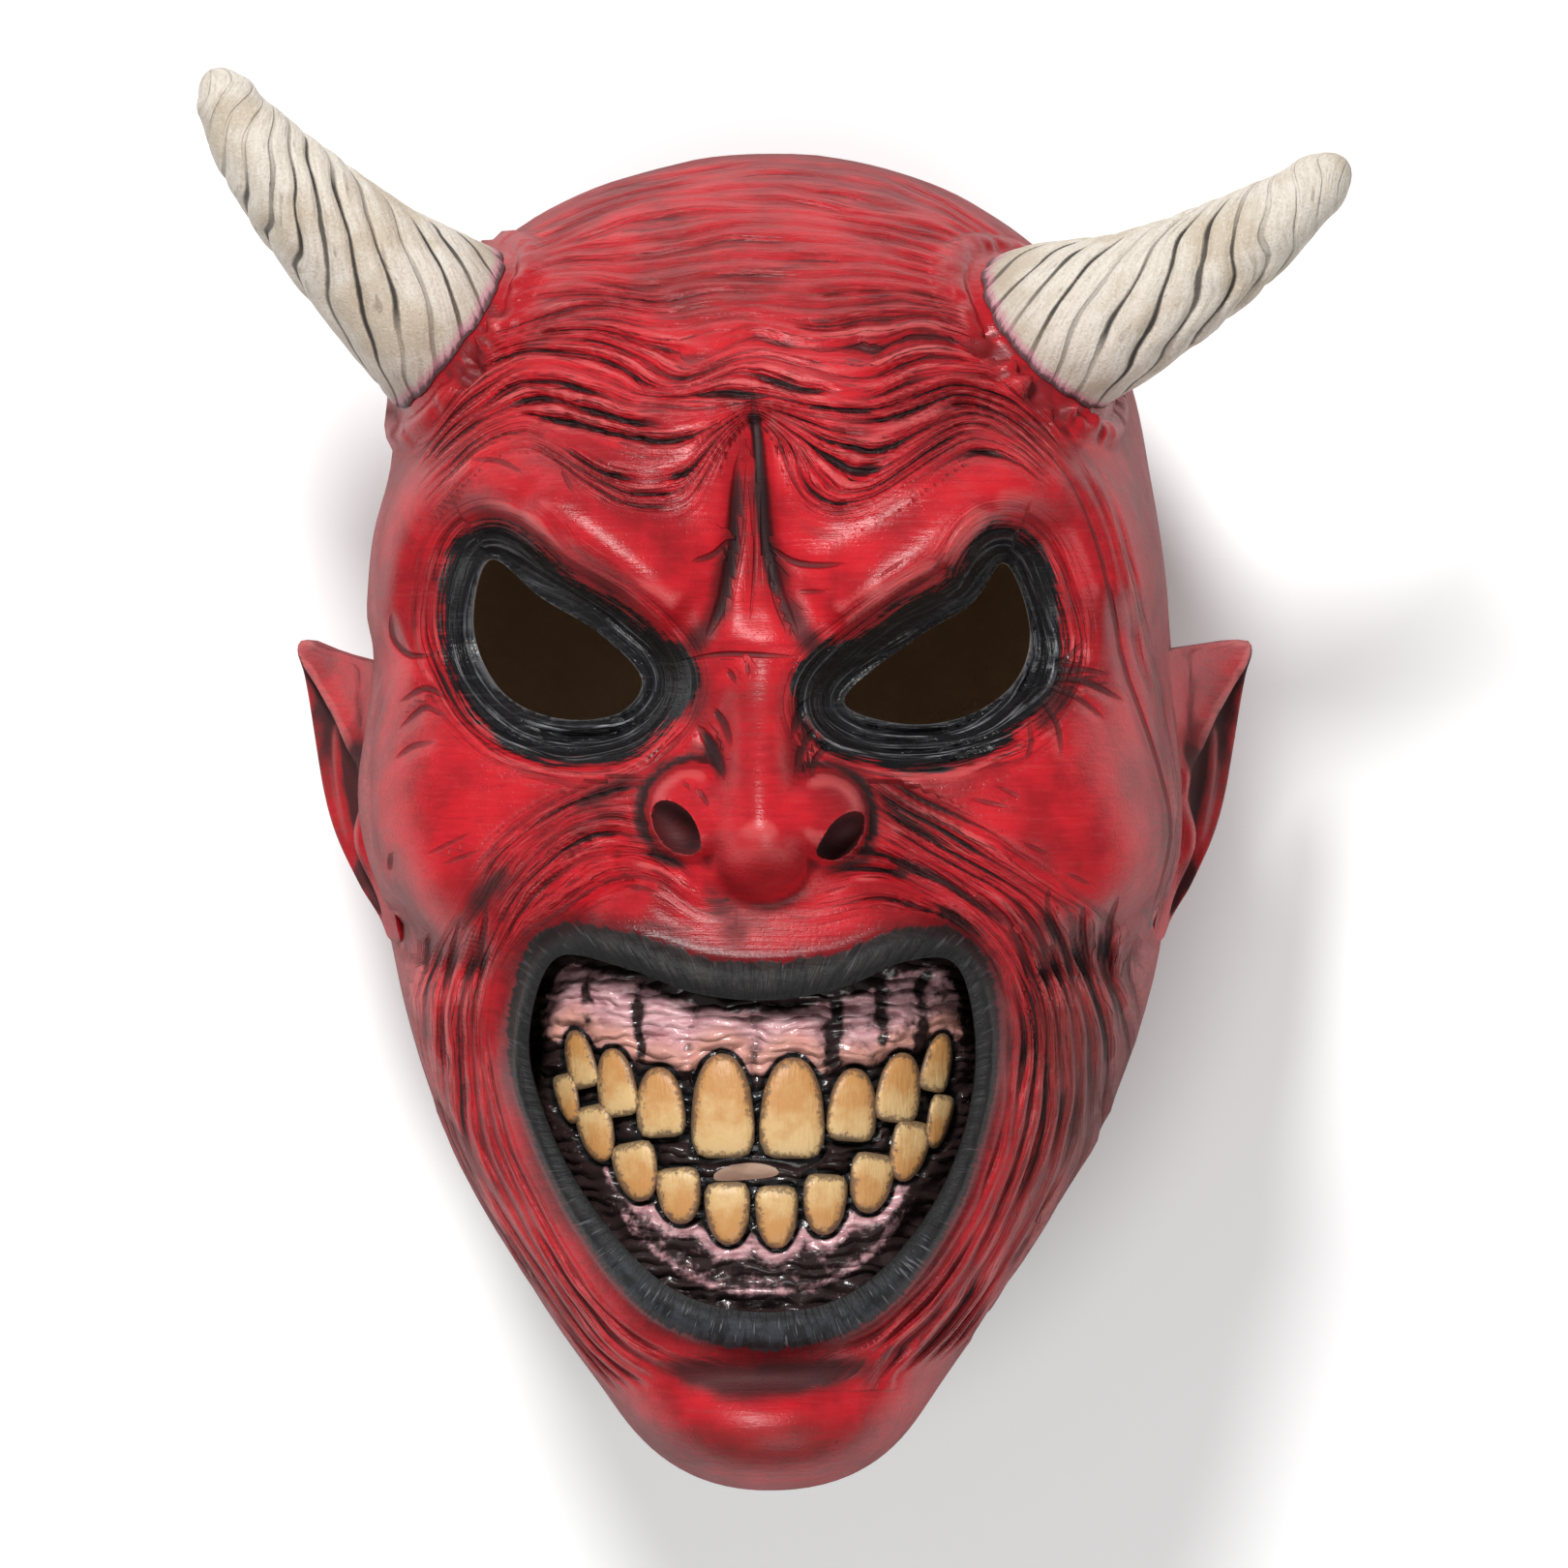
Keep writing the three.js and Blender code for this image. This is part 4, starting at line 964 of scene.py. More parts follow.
TEETH = [(x, y, w + TOOTH_MORE, h + TOOTH_MORE, tilt, 1) for x, y, w, h, tilt in UPPER_TEETH]
TEETH += [(x, y, w + TOOTH_MORE, h + TOOTH_MORE, tilt, -1) for x, y, w, h, tilt in LOWER_TEETH]
TOOTH_RISE, TOOTH_BURY = 3.2, 3.5
FURROWS = [
    ([(-43, -60), (-42.5, -70)], 1.6, 1.6), ([(-31, -58), (-30.5, -77)], 1.5, 2.2),
    ([(-18.5, -64), (-18.5, -76)], 1.2, 0.8), ([(-5, -66), (-4.5, -80)], 1.5, 1.2),
    ([(14, -61), (13.5, -79)], 2.4, 2), ([(25, -59), (24.5, -75)], 1.8, 2.2),
    ([(34, -60), (34, -80)], 2, 1.8),
]


def gum_z(x, y):
    across = np.clip(np.abs(x - GUM_X), 0, GUM_ARCH * 0.96)
    arch = GUM_ARCH - np.sqrt(GUM_ARCH**2 - across**2)
    return GUM_FRONT_Z - arch - GUM_BOW * (y - GUM_MIDDLE_Y) ** 2


def tooth_edge(turn):
    """Outline of a tooth as a share of its half sizes: square at the bite, round at the gum."""
    up = np.sin(turn)
    power = lerp(5, 2.3, smoothstep(up, -0.5, 0.7))
    narrow = lerp(1.03, 0.84, smoothstep(up, -0.6, 1))
    return (np.abs(np.cos(turn) / narrow) ** power + np.abs(up) ** power) ** (-1 / power)


def tooth_gap(x, y):
    """Distance to the nearest tooth, its row (1 is the upper one), and the share of the way to its gum."""
    best = np.full(x.shape, 99.0)
    upper = np.zeros(x.shape)
    gumward = np.zeros(x.shape)
    for cx, cy, width, height, tilt, gum_end in TEETH:
        a, b = turned(x - cx, y - cy, -tilt)
        b = b * gum_end
        turn = np.arctan2(b / height, a / width)
        edge = tooth_edge(turn)
        radius = np.hypot(edge * np.cos(turn) * width / 2, edge * np.sin(turn) * height / 2)
        gap = np.hypot(a, b) - radius
        upper = np.where(gap < best, gum_end, upper)
        gumward = np.where(gap < best, 2 * b / height, gumward)
        best = np.minimum(best, gap)
    return best, upper, gumward

# %% Relief of the gums


def furrow(x, y):
    total = np.zeros(x.shape)
    for points, width, depth in FURROWS:
        wavy = x + 1.1 * drift(x / 4, y / 4.5, 54)
        width = width * (1.1 + 0.35 * drift(x / 9, y / 4, 56))
        total = np.maximum(total, depth / 2.2 * bell(nearest(wavy, y, smooth_line(points, 6))[0], width))
    return total * np.clip(0.75 + 0.5 * drift(x / 3, y / 4, 55), 0, 1)


def columns(x, y):
    """1 between the upright columns of the upper gum."""
    total = np.zeros(x.shape)
    for points, _, _ in FURROWS:
        total = np.maximum(total, bell(x - points[0][0], 2.6))
    return total * smoothstep(y, -86, -78)


def between_rows(x, y):
    """1 in the band of the bite, from the gum line of the upper teeth to that of the lower ones."""
    top = -82 + 0.0035 * (x + 4) ** 2
    low = -119 + 0.0135 * (x + 5) ** 2
    return (1 - smoothstep(y, top - 1.5, top + 1.5)) * smoothstep(y, low - 1.5, low + 1.5)


def gum_relief(x, y):
    gap, upper, _ = tooth_gap(x, y)
    moat = -1.2 * bell(gap - 0.5, 1.0)
    swell = 1.9 * bell(gap - 3.6, 2.4) * np.where(upper > 0, 1, 0.9)
    bite = -1.6 * between_rows(x, y)
    knobs = 1.9 * drift(x / 6.5, y / 2.3, 51) + 0.5 * drift(x / 2.8, y / 2.4, 52)
    edge = -1.5 * bell(outside(x, y, MOUTH_LINE)[0] + 1, 3)
    total = moat + swell + bite + knobs * smoothstep(gap, 1, 3) + edge
    total = total - np.maximum(2.2 * furrow(x, y), 1.4 * columns(x, y))
    at_slit = smoothstep(np.hypot((x - SLIT[0]) / 10, (y - SLIT[1]) / 3.2), 0.9, 1.5)
    return lerp(-1.5, total, at_slit)

# %% The mouth's cutter
GRID_X, GRID_Y, GRID_TOP = (-60.5, 50), (-141, -51), 275
MOUTH_Z = (100, 270)


def block_on_gums(name, columns, rows, margin, height):
    """A grid over the mouth that follows a height over the gums, pulled up to a block."""
    deselect()
    bpy.ops.mesh.primitive_grid_add(x_subdivisions=columns, y_subdivisions=rows, size=2 * MM)
    obj = bpy.context.object
    obj.name = name
    p = points_of(obj)
    x = lerp(GRID_X[0] - margin, GRID_X[1] + margin, (p[:, 0] + 1) / 2)
    y = lerp(GRID_Y[0] - margin, GRID_Y[1] + margin, (p[:, 1] + 1) / 2)
    move_points(obj, np.column_stack([x, y, gum_z(x, y) + height(x, y)]))
    activate(obj)
    bpy.ops.object.mode_set(mode="EDIT")
    bpy.ops.mesh.select_all(action="SELECT")
    bpy.ops.mesh.extrude_region_move(TRANSFORM_OT_translate={"value": (0, 0, 0.05)})
    bpy.ops.object.mode_set(mode="OBJECT")
    block = points_of(obj)
    block[len(p) :, 2] = GRID_TOP
    move_points(obj, block)
    print(name, len(block), "points", len(obj.data.polygons), "faces")
    return face_outwards(obj)


pocket = block_on_gums("mouth_pocket", 108, 88, 0, gum_relief)

# %% Cutters with an outline


def outline_prism(name, line, from_z, to_z, lean=0):
    """A block with a drawn outline, from one height to another, its lower end leaning to the chin."""
    deselect()
    bpy.ops.mesh.primitive_cylinder_add(vertices=len(line), radius=MM, depth=MM)
    obj = bpy.context.object
    obj.name = obj.data.name = name
    p = points_of(obj)
    step = np.round(np.arctan2(p[:, 0], p[:, 1]) / (2 * np.pi) * len(line)).astype(int) % len(line)
    area = np.cross(line, np.roll(line, -1, axis=0)).sum()
    ring = line[::-1] if area > 0 else line
    z = np.where(p[:, 2] > 0, to_z, from_z)
    move_points(obj, np.column_stack([ring[step][:, 0], ring[step][:, 1] + lean * (z - to_z), z]))
    return face_outwards(obj)


def ellipse(x, y, rx, ry, steps=40):
    a = np.linspace(0, 2 * np.pi, steps, endpoint=False)
    return np.column_stack([x + rx * np.cos(a), y + ry * np.sin(a)])


combine(pocket, outline_prism("mouth_outline", MOUTH_LINE, *MOUTH_Z), "INTERSECT")

# %% [markdown]
# ## Paint
#
# The finishes are made of shader nodes before the last cuts, because a cutter hands its material on to
# the faces that it leaves. Long node trees are easier to read through small helpers: `Paint` adds nodes
# to one tree, and its methods are the few moves that all the finishes share. What a node gives is a
# `Value`, so a sum of values in the script is a chain of Math nodes in the tree.

# %% Node helpers
VALUE, VECTOR = "NodeSocketFloat", "NodeSocketVector"


class Value:
    """A node's output. Each sum, difference, product or size of values is one more Math node."""

    def __init__(self, paint, socket):
        self.paint, self.socket = paint, socket

    def __add__(self, other):
        return self.paint.math("ADD", self, other)

    def __radd__(self, other):
        return self.paint.math("ADD", other, self)

    def __sub__(self, other):
        return self.paint.math("SUBTRACT", self, other)

    def __rsub__(self, other):
        return self.paint.math("SUBTRACT", other, self)

    def __mul__(self, other):
        return self.paint.math("MULTIPLY", self, other)

    def __rmul__(self, other):
        return self.paint.math("MULTIPLY", other, self)

    def __abs__(self):
        return self.paint.math("ABSOLUTE", self)


class Paint:
    """Adds nodes to one tree."""

    def __init__(self, tree):
        self.tree = tree

    def feed(self, sockets, values):
        """Links each value to its socket, or sets a plain number or colour there."""
        for key, value in values.items():
            if isinstance(value, Value):
                self.tree.links.new(value.socket, sockets[key])
            elif value is not None:
                sockets[key].default_value = value

    def node(self, kind, inputs=(), **settings):
        made = self.tree.nodes.new(kind)
        for key, value in settings.items():
            setattr(made, key, value)
        self.feed(made.inputs, dict(inputs))
        outputs = [*enumerate(made.outputs), *made.outputs.items()]
        return {key: Value(self, socket) for key, socket in outputs}

    def math(self, operation, a, b=None):
        return self.node("ShaderNodeMath", {0: a, 1: b}, operation=operation)[0]

    def step(self, value, low, high):
        """A smooth step of a value from low to high."""
        inputs = {"Value": value, "From Min": low, "From Max": high}
        return self.node("ShaderNodeMapRange", inputs, interpolation_type="SMOOTHSTEP")["Result"]

    def blend(self, share, a, b):
        return self.node("ShaderNodeMix", {0: share, 2: a, 3: b})[0]

    def mix(self, share, a, b):
        """A blend of two colours."""
        return self.node("ShaderNodeMix", {0: share, 6: a, 7: b}, data_type="RGBA")[2]

    def layers(self, colour, rows):
        """Lays tints over a colour. Each row is a mask and its tint."""
        for mask, tint in rows:
            colour = self.mix(mask, colour, tint)
        return colour

    def vector(self, x, y):
        return self.node("ShaderNodeCombineXYZ", {0: x, 1: y})[0]

    def split(self, vector):
        return self.node("ShaderNodeSeparateXYZ", {0: vector})

    def stretch(self, vector, sizes):
        return self.node("ShaderNodeVectorMath", {0: vector, 1: sizes}, operation="MULTIPLY")[0]

    def noise(self, vector, scale=1.0, detail=2.0, roughness=0.5):
        inputs = {"Vector": vector, "Scale": scale, "Detail": detail, "Roughness": roughness}
        return self.node("ShaderNodeTexNoise", inputs)["Fac"]

    def cells(self, vector, scale):
        return self.node("ShaderNodeTexVoronoi", {"Vector": vector, "Scale": scale})["Distance"]

    def read(self, name, output="Vector"):
        return self.node("ShaderNodeAttribute", attribute_name=name)[output]

    def group(self, name, **inputs):
        return self.node("ShaderNodeGroup", inputs, node_tree=bpy.data.node_groups[name])


def new_group(name, inputs, outputs):
    """A shader group with named inputs and outputs, and the painter for its inside."""
    tree = bpy.data.node_groups.new(name, "ShaderNodeTree")
    for key, kind, value in inputs:
        socket = tree.interface.new_socket(key, in_out="INPUT", socket_type=kind)
        if value is not None:
            socket.default_value = value
    for key in outputs:
        tree.interface.new_socket(key, in_out="OUTPUT", socket_type=VALUE)
    paint = Paint(tree)
    return paint, paint.node("NodeGroupInput"), tree.nodes.new("NodeGroupOutput").inputs


def new_material(name):
    material = bpy.data.materials.new(name)
    material.use_nodes = True
    paint = Paint(material.node_tree)
    shader = material.node_tree.nodes["Principled BSDF"]
    place = paint.node("ShaderNodeTexCoord")["Object"]
    return material, paint, shader, paint.stretch(place, (1 / MM, 1 / MM, 1 / MM))


def finish_material(paint, shader, colour, roughness, height, depth=0.001, strength=1.0):
    """Links colour and roughness, and turns a height into a bump."""
    bump = paint.node("ShaderNodeBump", {"Height": height, "Distance": depth, "Strength": strength})
    paint.feed(shader.inputs, {"Base Color": colour, "Roughness": roughness, "Normal": bump["Normal"]})


# %% [markdown]
# ### Two shared effects
#
# *Carved lines* turns the two fold numbers into dark lines, pale crests and fine hairs that follow the
# folds. The dark lines are dark wash and painted shade in the bottoms of the folds, and the pale crests
# are rubbed paint and painted highlights. *Latex grain* is the even ground of tiny pores, specks and
# cloudy patches that every painted surface of the mask has.

# %% Shader groups
paint, start, end = new_group(
    "Carved lines",
    [("Along", VALUE, 0.0), ("Across", VALUE, 0.0), ("Strength", VALUE, 1.0), ("Sharpness", VALUE, 0.6),
     ("Ragged", VALUE, 1.0), ("Between", VALUE, 1.0)],
    ["Line", "Crest and highlight", "Hairs", "Height"],
)
valley = 1.0 - abs(paint.math("SINE", start["Across"] * math.pi))
ragged = paint.noise(paint.vector(start["Along"] * 2.2, start["Across"] * 1.7), detail=4.0)
thick = paint.noise(paint.vector(start["Along"] * 0.6, start["Across"] * 0.7), detail=2.0)
ragged, thick = ragged - 0.5, thick - 0.5
uneven = valley + (ragged * 0.55 + thick * 0.9) * start["Ragged"]
# A dark line in each fold's bottom: dark wash and painted shade.
line = paint.step(uneven, start["Sharpness"], start["Sharpness"] + 0.26)
between = 1.0 - abs(paint.math("SINE", start["Across"] * (2.35 * math.pi) + thick * 7.0))
between = paint.step(between + ragged * 1.3, 0.84, 1.05) * start["Between"]
line = paint.math("MAXIMUM", line, between * 0.75)
hairs = paint.noise(paint.vector(start["Along"] * 1.1, start["Across"] * 5.5), detail=5.0)
# Pale crests: rubbed paint and painted highlights.
crest_and_highlight = paint.step(valley, 0.4, 0.0) * paint.step(hairs, 0.48, 0.68)
height = valley * -0.6 + (hairs - 0.5) * 0.8 - between * 0.5
line, crest_and_highlight, height = [value * start["Strength"] for value in (line, crest_and_highlight, height)]
paint.feed(end, {"Line": line, "Crest and highlight": crest_and_highlight, "Hairs": hairs, "Height": height * 1.4})

paint, start, end = new_group(
    "Latex grain",
    [("Vector", VECTOR, None), ("Scale", VALUE, 1.0)],
    ["Cloud", "Specks", "Height"],
)
cloud = paint.noise(start["Vector"], scale=0.045, detail=4.0, roughness=0.6)
pores = paint.cells(start["Vector"], scale=0.75)
specks = paint.step(paint.noise(start["Vector"], scale=0.55), 0.72, 0.78)
small = paint.noise(start["Vector"], scale=0.9, detail=4.0)
grain = paint.step(pores, 0.28, 0.0) * -0.1 + small * 0.14
paint.feed(end, {"Cloud": cloud, "Specks": specks, "Height": grain * start["Scale"]})

# %% [markdown]
# ### The painted skin
#
# Red goes on first, cloudy rather than even. The crests are rubbed paler and carry painted highlights,
# and a dark wash then sits in every fold, where it also paints the shade. The sides that turn away from
# the camera get painted shade too. Such paint could be drawn as a picture, but masks made from the
# numbers on the mesh follow every fold by themselves. Each row below is one layer: a mask, made uneven
# by a noise and often thinned by a factor, and its tint.

# %% Red coats and dark wash
RED_DEEP, RED_BRIGHT, RED_PALE = (0.27, 0.009, 0.014, 1), (0.55, 0.013, 0.022, 1), (0.62, 0.11, 0.11, 1)
RED_SIDE_SHADE, RED_DULLED = (0.12, 0.012, 0.014, 1), (0.085, 0.026, 0.022, 1)
WASH_AND_SHADE, BLACK = (0.022, 0.008, 0.009, 1), (0.010, 0.010, 0.011, 1)

skin_paint, paint, shader, place = new_material("painted_latex")
flow, marks, shade_and_wear, edges = [paint.split(paint.read(name)) for name in ("flow", "marks", "shade_and_wear", "edges")]
near_horn, sideways, dulled = [paint.read(name, "Fac") for name in ("near_horn", "sideways", "dull_brown")]
sharp = 0.72 - shade_and_wear[2] * 0.22
lines = paint.group("Carved lines", Along=flow[0], Across=flow[1], Strength=flow[2], Sharpness=sharp)
grain = paint.group("Latex grain", Vector=place, Scale=0.6)
brush = paint.noise(paint.stretch(place, (0.06, 0.9, 0.2)), detail=5.0, roughness=0.65)
wide = paint.noise(place, scale=0.11, detail=3.0)
hairs, streaks, patches = lines["Hairs"] - 0.5, brush - 0.5, wide - 0.5
thin = paint.math("MINIMUM", flow[2] * 2.2, 1.0)
cut_line = paint.step(abs(marks[0]), 1.0, 0.35) * marks[1]
# Stains, where dark wash pooled and where shade is painted under the nose, the wings and the brows.
pooled_wash_and_shade = paint.step(marks[2] + hairs * 0.9 + patches * 0.6, 0.2, 0.85) * 0.9
colour = paint.layers(RED_DEEP, [
    (paint.step(grain["Cloud"], 0.3, 0.65), RED_BRIGHT),
    (paint.step(brush, 0.5, 0.75) * 0.12, RED_PALE),
    (paint.step(brush, 0.48, 0.3) * 0.42, RED_DEEP),
    # Pale crests, from the folds and from the raised points: rubbed paint and painted highlights.
    (lines["Crest and highlight"] * 0.6, RED_PALE),
    (paint.step(shade_and_wear[1] + hairs * 1.2, 0.35, 0.9) * 0.55, RED_PALE),
    (paint.step(lines["Hairs"], 0.48, 0.36) * thin * 0.55, WASH_AND_SHADE),
    # Dark lines in the fold bottoms: dark wash and painted shade.
    (lines["Line"] * 0.9, WASH_AND_SHADE),
    # Browner, duller patches.
    (paint.step(dulled + streaks * 0.9 + hairs * 0.8, 0.25, 0.95) * 0.62, RED_DULLED),
    # Dark in the hollows: dark wash and painted shade.
    (paint.step(shade_and_wear[0] + hairs + patches * 0.35, 0.28, 0.8) * 0.92, WASH_AND_SHADE),
    # Dark lines in the single cuts: dark wash and painted shade.
    (cut_line, WASH_AND_SHADE),
    # Stains: dark wash and painted shade.
    (pooled_wash_and_shade, WASH_AND_SHADE),
    (grain["Specks"] * 0.45, WASH_AND_SHADE),
    # Painted shade: the sides that turn away from the camera are darker.
    (paint.step(sideways + streaks * 0.9, 0.1, 1.0) * 0.66, RED_SIDE_SHADE),
    (near_horn * 0.5, RED_DEEP),
])

# %% [markdown]
# Black is brushed round the eyes with a ragged edge, and the wash beside the lips fades into the red.
# Grey streaks on the black's ridges are painted highlights. The lips are slate below the mouth and
# nearly black above it, with fine nicks across them.

# %% Eye liner and lips
SLATE, LIP_BROWN, LIP_SIDES, LIP_NICK = (
    (0.032, 0.034, 0.042, 1), (0.028, 0.024, 0.023, 1), (0.014, 0.011, 0.011, 1), (0.16, 0.16, 0.175, 1)
)
liner = paint.step(edges[0] + patches * 5.0 + hairs * 9.0 + streaks * 4.0, 1.4, -1.0)
# Grey on the ridges and along brush streaks of the black: painted highlights.
liner_with_highlights = paint.layers(BLACK, [
    (lines["Crest and highlight"], (0.29, 0.295, 0.31, 1)),
    (paint.step(brush, 0.52, 0.7) * 0.25, (0.07, 0.072, 0.078, 1)),
    (paint.step(shade_and_wear[1], 0.3, 1.0) * 0.7, (0.12, 0.123, 0.13, 1)),
])
across, up = paint.split(place)[0], paint.split(place)[1]
round_lip = paint.read("round_lip")
lip_marks = paint.noise(round_lip, detail=3.0)
lip_nicks = paint.noise(round_lip, scale=2.0)
blotches = paint.noise(place, scale=0.22, detail=4.0, roughness=0.6)
below = paint.step(up, -108.0, -125.0)
lip_colour = paint.layers(LIP_BROWN, [
    (below, SLATE),
    (paint.step(abs(across + 5.0), 27.0, 42.0) * 0.75, LIP_SIDES),
    (paint.step(blotches, 0.42, 0.62) * 0.75, BLACK),
    (paint.step(lip_marks, 0.52, 0.6) * 0.9, BLACK),
    (paint.step(lip_nicks, 0.6, 0.68) * (0.25 + below * 0.45), LIP_NICK),
    (paint.step(edges[2], 4.0, 0.4), BLACK),
])
lip_edge = edges[1] + patches * 2.0 + (lip_nicks - 0.5) * 3.0
lip = paint.step(lip_edge, 0.35, -0.5)
colour = paint.layers(colour, [
    (liner, liner_with_highlights),
    (paint.step(lip_edge, 5.5, 0.0) * 0.7, WASH_AND_SHADE),
    (lip, lip_colour),
])

# %% [markdown]
# Gloss tells latex from plaster. The strips round the horns and the liner shine most, the wash, the
# browner patches and the lips are duller, and the sides are dullest, so that they don't glare against
# the white.

# %% Gloss and fine relief
rough = 0.2 + wide * 0.16 - near_horn * 0.14 + sideways * 0.42
rough = rough + paint.math("MAXIMUM", pooled_wash_and_shade, cut_line) * 0.4 + lines["Line"] * 0.15 + dulled * 0.12
rough = paint.blend(lip, paint.blend(liner, rough, 0.17), 0.6)
height = lines["Height"] * (1.0 - liner * 0.3) + grain["Height"] - cut_line * 0.7 + brush * 0.2
height = height + (lip_marks * -1.0 + blotches * 0.8) * lip
shader.inputs["Specular IOR Level"].default_value = 0.3
finish_material(paint, shader, colour, rough, height, strength=0.9)
print("skin material", len(paint.tree.nodes), "nodes")

# %% [markdown]
# ### Gums, teeth, bare latex
#
# The gums are mauve and wet, with dark furrows and a black line round every tooth. The teeth are stained
# orange towards the gum and smudged brown along their edges. The inside and the cut edges of the holes
# show the bare latex, which is a dull ivory.

# %% Gums
MAUVE_DEEP, MAUVE = (0.54, 0.27, 0.30, 1), (0.78, 0.47, 0.49, 1)
SALMON, GUM_DARK = (0.66, 0.31, 0.24, 1), (0.028, 0.016, 0.016, 1)

gum_paint, paint, shader, place = new_material("gum_paint")
gums = paint.split(paint.read("gums"))
clots = paint.noise(place, scale=0.32, detail=4.0, roughness=0.6)
creases = paint.noise(paint.stretch(place, (0.25, 0.9, 0.3)), detail=3.0)
slow = paint.noise(paint.stretch(place, (0.12, 0.1, 0.1)), detail=1.0)
waves = abs(paint.math("SINE", paint.split(place)[1] * 1.1 + slow * 7.0))
ragged = (clots - 0.5) * 1.4
colour = paint.layers(MAUVE_DEEP, [
    (paint.step(creases, 0.35, 0.65), MAUVE),
    (gums[2] * 0.9, SALMON),
    # Dark furrows and recesses: dark paint and painted shade.
    (paint.step(gums[1] + ragged, 0.28, 0.85), GUM_DARK),
    (paint.step(gums[0] + ragged, 1.5, 0.8), BLACK),
])
finish_material(paint, shader, colour, 0.12 + clots * 0.2, clots * 0.4 + waves * 0.9, strength=0.9)

# %% Teeth
TOOTH_PALE, TOOTH_ORANGE = (0.66, 0.44, 0.20, 1), (0.54, 0.26, 0.085, 1)
TOOTH_STAIN = (0.12, 0.075, 0.05, 1)

tooth_paint, paint, shader, place = new_material("tooth_paint")
gap = paint.split(paint.read("gums"))[0]
stain = paint.noise(place, scale=0.22, detail=4.0, roughness=0.6)
fine_stain = paint.noise(place, scale=0.9, detail=5.0, roughness=0.7)
upright = paint.noise(paint.stretch(place, (1.2, 0.25, 0.5)), detail=3.0)
gumward = paint.read("gumward", "Fac") + (stain - 0.5) * 2.4
smudge = gap + (fine_stain - 0.5) * 6.0 + (stain - 0.5) * 3.0
colour = paint.layers(TOOTH_PALE, [
    (paint.step(gumward, -0.9, 0.5), TOOTH_ORANGE),
    (paint.step(smudge, -1.9, -0.5) * 0.8, TOOTH_STAIN),
    (paint.step(gap, -0.15, 0.25), BLACK),
])
height = upright * 0.3 + fine_stain * 0.12
finish_material(paint, shader, colour, 0.3 + fine_stain * 0.25, height, strength=0.7)

# %% Bare latex inside and at the cut edges
bare_latex, paint, shader, place = new_material("bare_latex")
patches = paint.noise(place, scale=0.03, detail=4.0)
grain = paint.group("Latex grain", Vector=place)
colour = paint.mix(patches, (0.30, 0.20, 0.12, 1), (0.46, 0.33, 0.20, 1))
colour = paint.mix(grain["Specks"] * 0.4, colour, (0.2, 0.06, 0.04, 1))
finish_material(paint, shader, colour, 0.5 + patches * 0.2, grain["Height"])

cut_edge, paint, shader, place = new_material("cut_edge")
patches = paint.noise(place, scale=0.3, detail=3.0)
colour = paint.mix(patches, (0.38, 0.22, 0.16, 1), (0.55, 0.38, 0.28, 1))
finish_material(paint, shader, colour, 0.5 + patches * 0.2, patches, depth=0.0003)

# %% [markdown]
# ## Cutting the casting
#
# Now the parts come together in the order of the real thing: the mouth is hollowed, the teeth are set
# on the gums, and the inside is taken out so that a thin wall is left. Each cutter carries the material
# that its faces leave behind.

# %% Mouth and teeth


def tooth(x, y, width, height, tilt, gum_end):
    obj = new_sphere("tooth", 26, 13)
    turn, down = sphere_angles(obj)
    flat = np.sin(down) ** 0.42
    level = np.sign(np.cos(down)) * np.abs(np.cos(down)) ** 0.75
    edge = tooth_edge(turn) * flat
    a = edge * np.cos(turn) * width / 2
    b = edge * np.sin(turn) * height / 2 * gum_end
    across, up = turned(a, b, tilt)
    px, py = x + across, y + up
    rise = np.where(level > 0, TOOTH_RISE, TOOTH_BURY) * level
    move_points(obj, np.column_stack([px, py, gum_z(px, py) + rise]))
    return face_outwards(obj)


def give_material(obj, material):
    obj.data.materials.clear()
    obj.data.materials.append(material)
    return obj


give_material(head, skin_paint)
give_material(pocket, gum_paint)
combine(head, pocket, "DIFFERENCE")
made = [tooth(*row) for row in TEETH]
print(len(made), "teeth")
deselect()
for obj in made:
    obj.select_set(True)
bpy.context.view_layer.objects.active = made[0]
bpy.ops.object.join()
give_material(made[0], tooth_paint)
combine(head, made[0], "UNION")

# %% [markdown]
# The inside is a looser copy of the outside, a wall's thickness in from it. It follows the lowest relief
# near each place, as a casting's inside is smoother than its outside. The hollow stays clear of the
# gums, so a second block, the mouth grown by the wall, is taken from it first.

# %% The hollow inside
LOOSE_FIT, RELIEF_ROOM, GROWN_Z = 5, 3, (90, 268)
ROUND_ABOUT = [(0, 0), (1, 0), (-1, 0), (0, 1), (0, -1), (0.7, 0.7), (-0.7, 0.7), (0.7, -0.7), (-0.7, -0.7)]


def loose_relief(x, y):
    around = [(x + u * LOOSE_FIT, y + v * LOOSE_FIT) for u, v in ROUND_ABOUT]
    return np.min([relief(*place) + bridge(*place) for place in around], axis=0)


cavity = new_sphere("cavity", 72, 60)
turn, down = sphere_angles(cavity)
move_points(cavity, raise_points(turn, down, loose_relief))
face_outwards(cavity)
p = points_of(cavity) - WALL * normals_of(cavity)
p[:, 2] = np.maximum(p[:, 2], WALL)
move_points(cavity, p)
give_material(cavity, bare_latex)

grown = MOUTH_LINE - [MOUTH_X, MOUTH_Y]
grown = grown * (1 + WALL / np.linalg.norm(grown, axis=1, keepdims=True)) + [MOUTH_X, MOUTH_Y]
keep_clear = block_on_gums("keep_clear", 40, 34, 4, lambda x, y: -WALL - RELIEF_ROOM)
give_material(keep_clear, bare_latex)
combine(keep_clear, outline_prism("grown_outline", grown, *GROWN_Z), "INTERSECT")
combine(cavity, keep_clear, "DIFFERENCE")
combine(head, cavity, "DIFFERENCE")

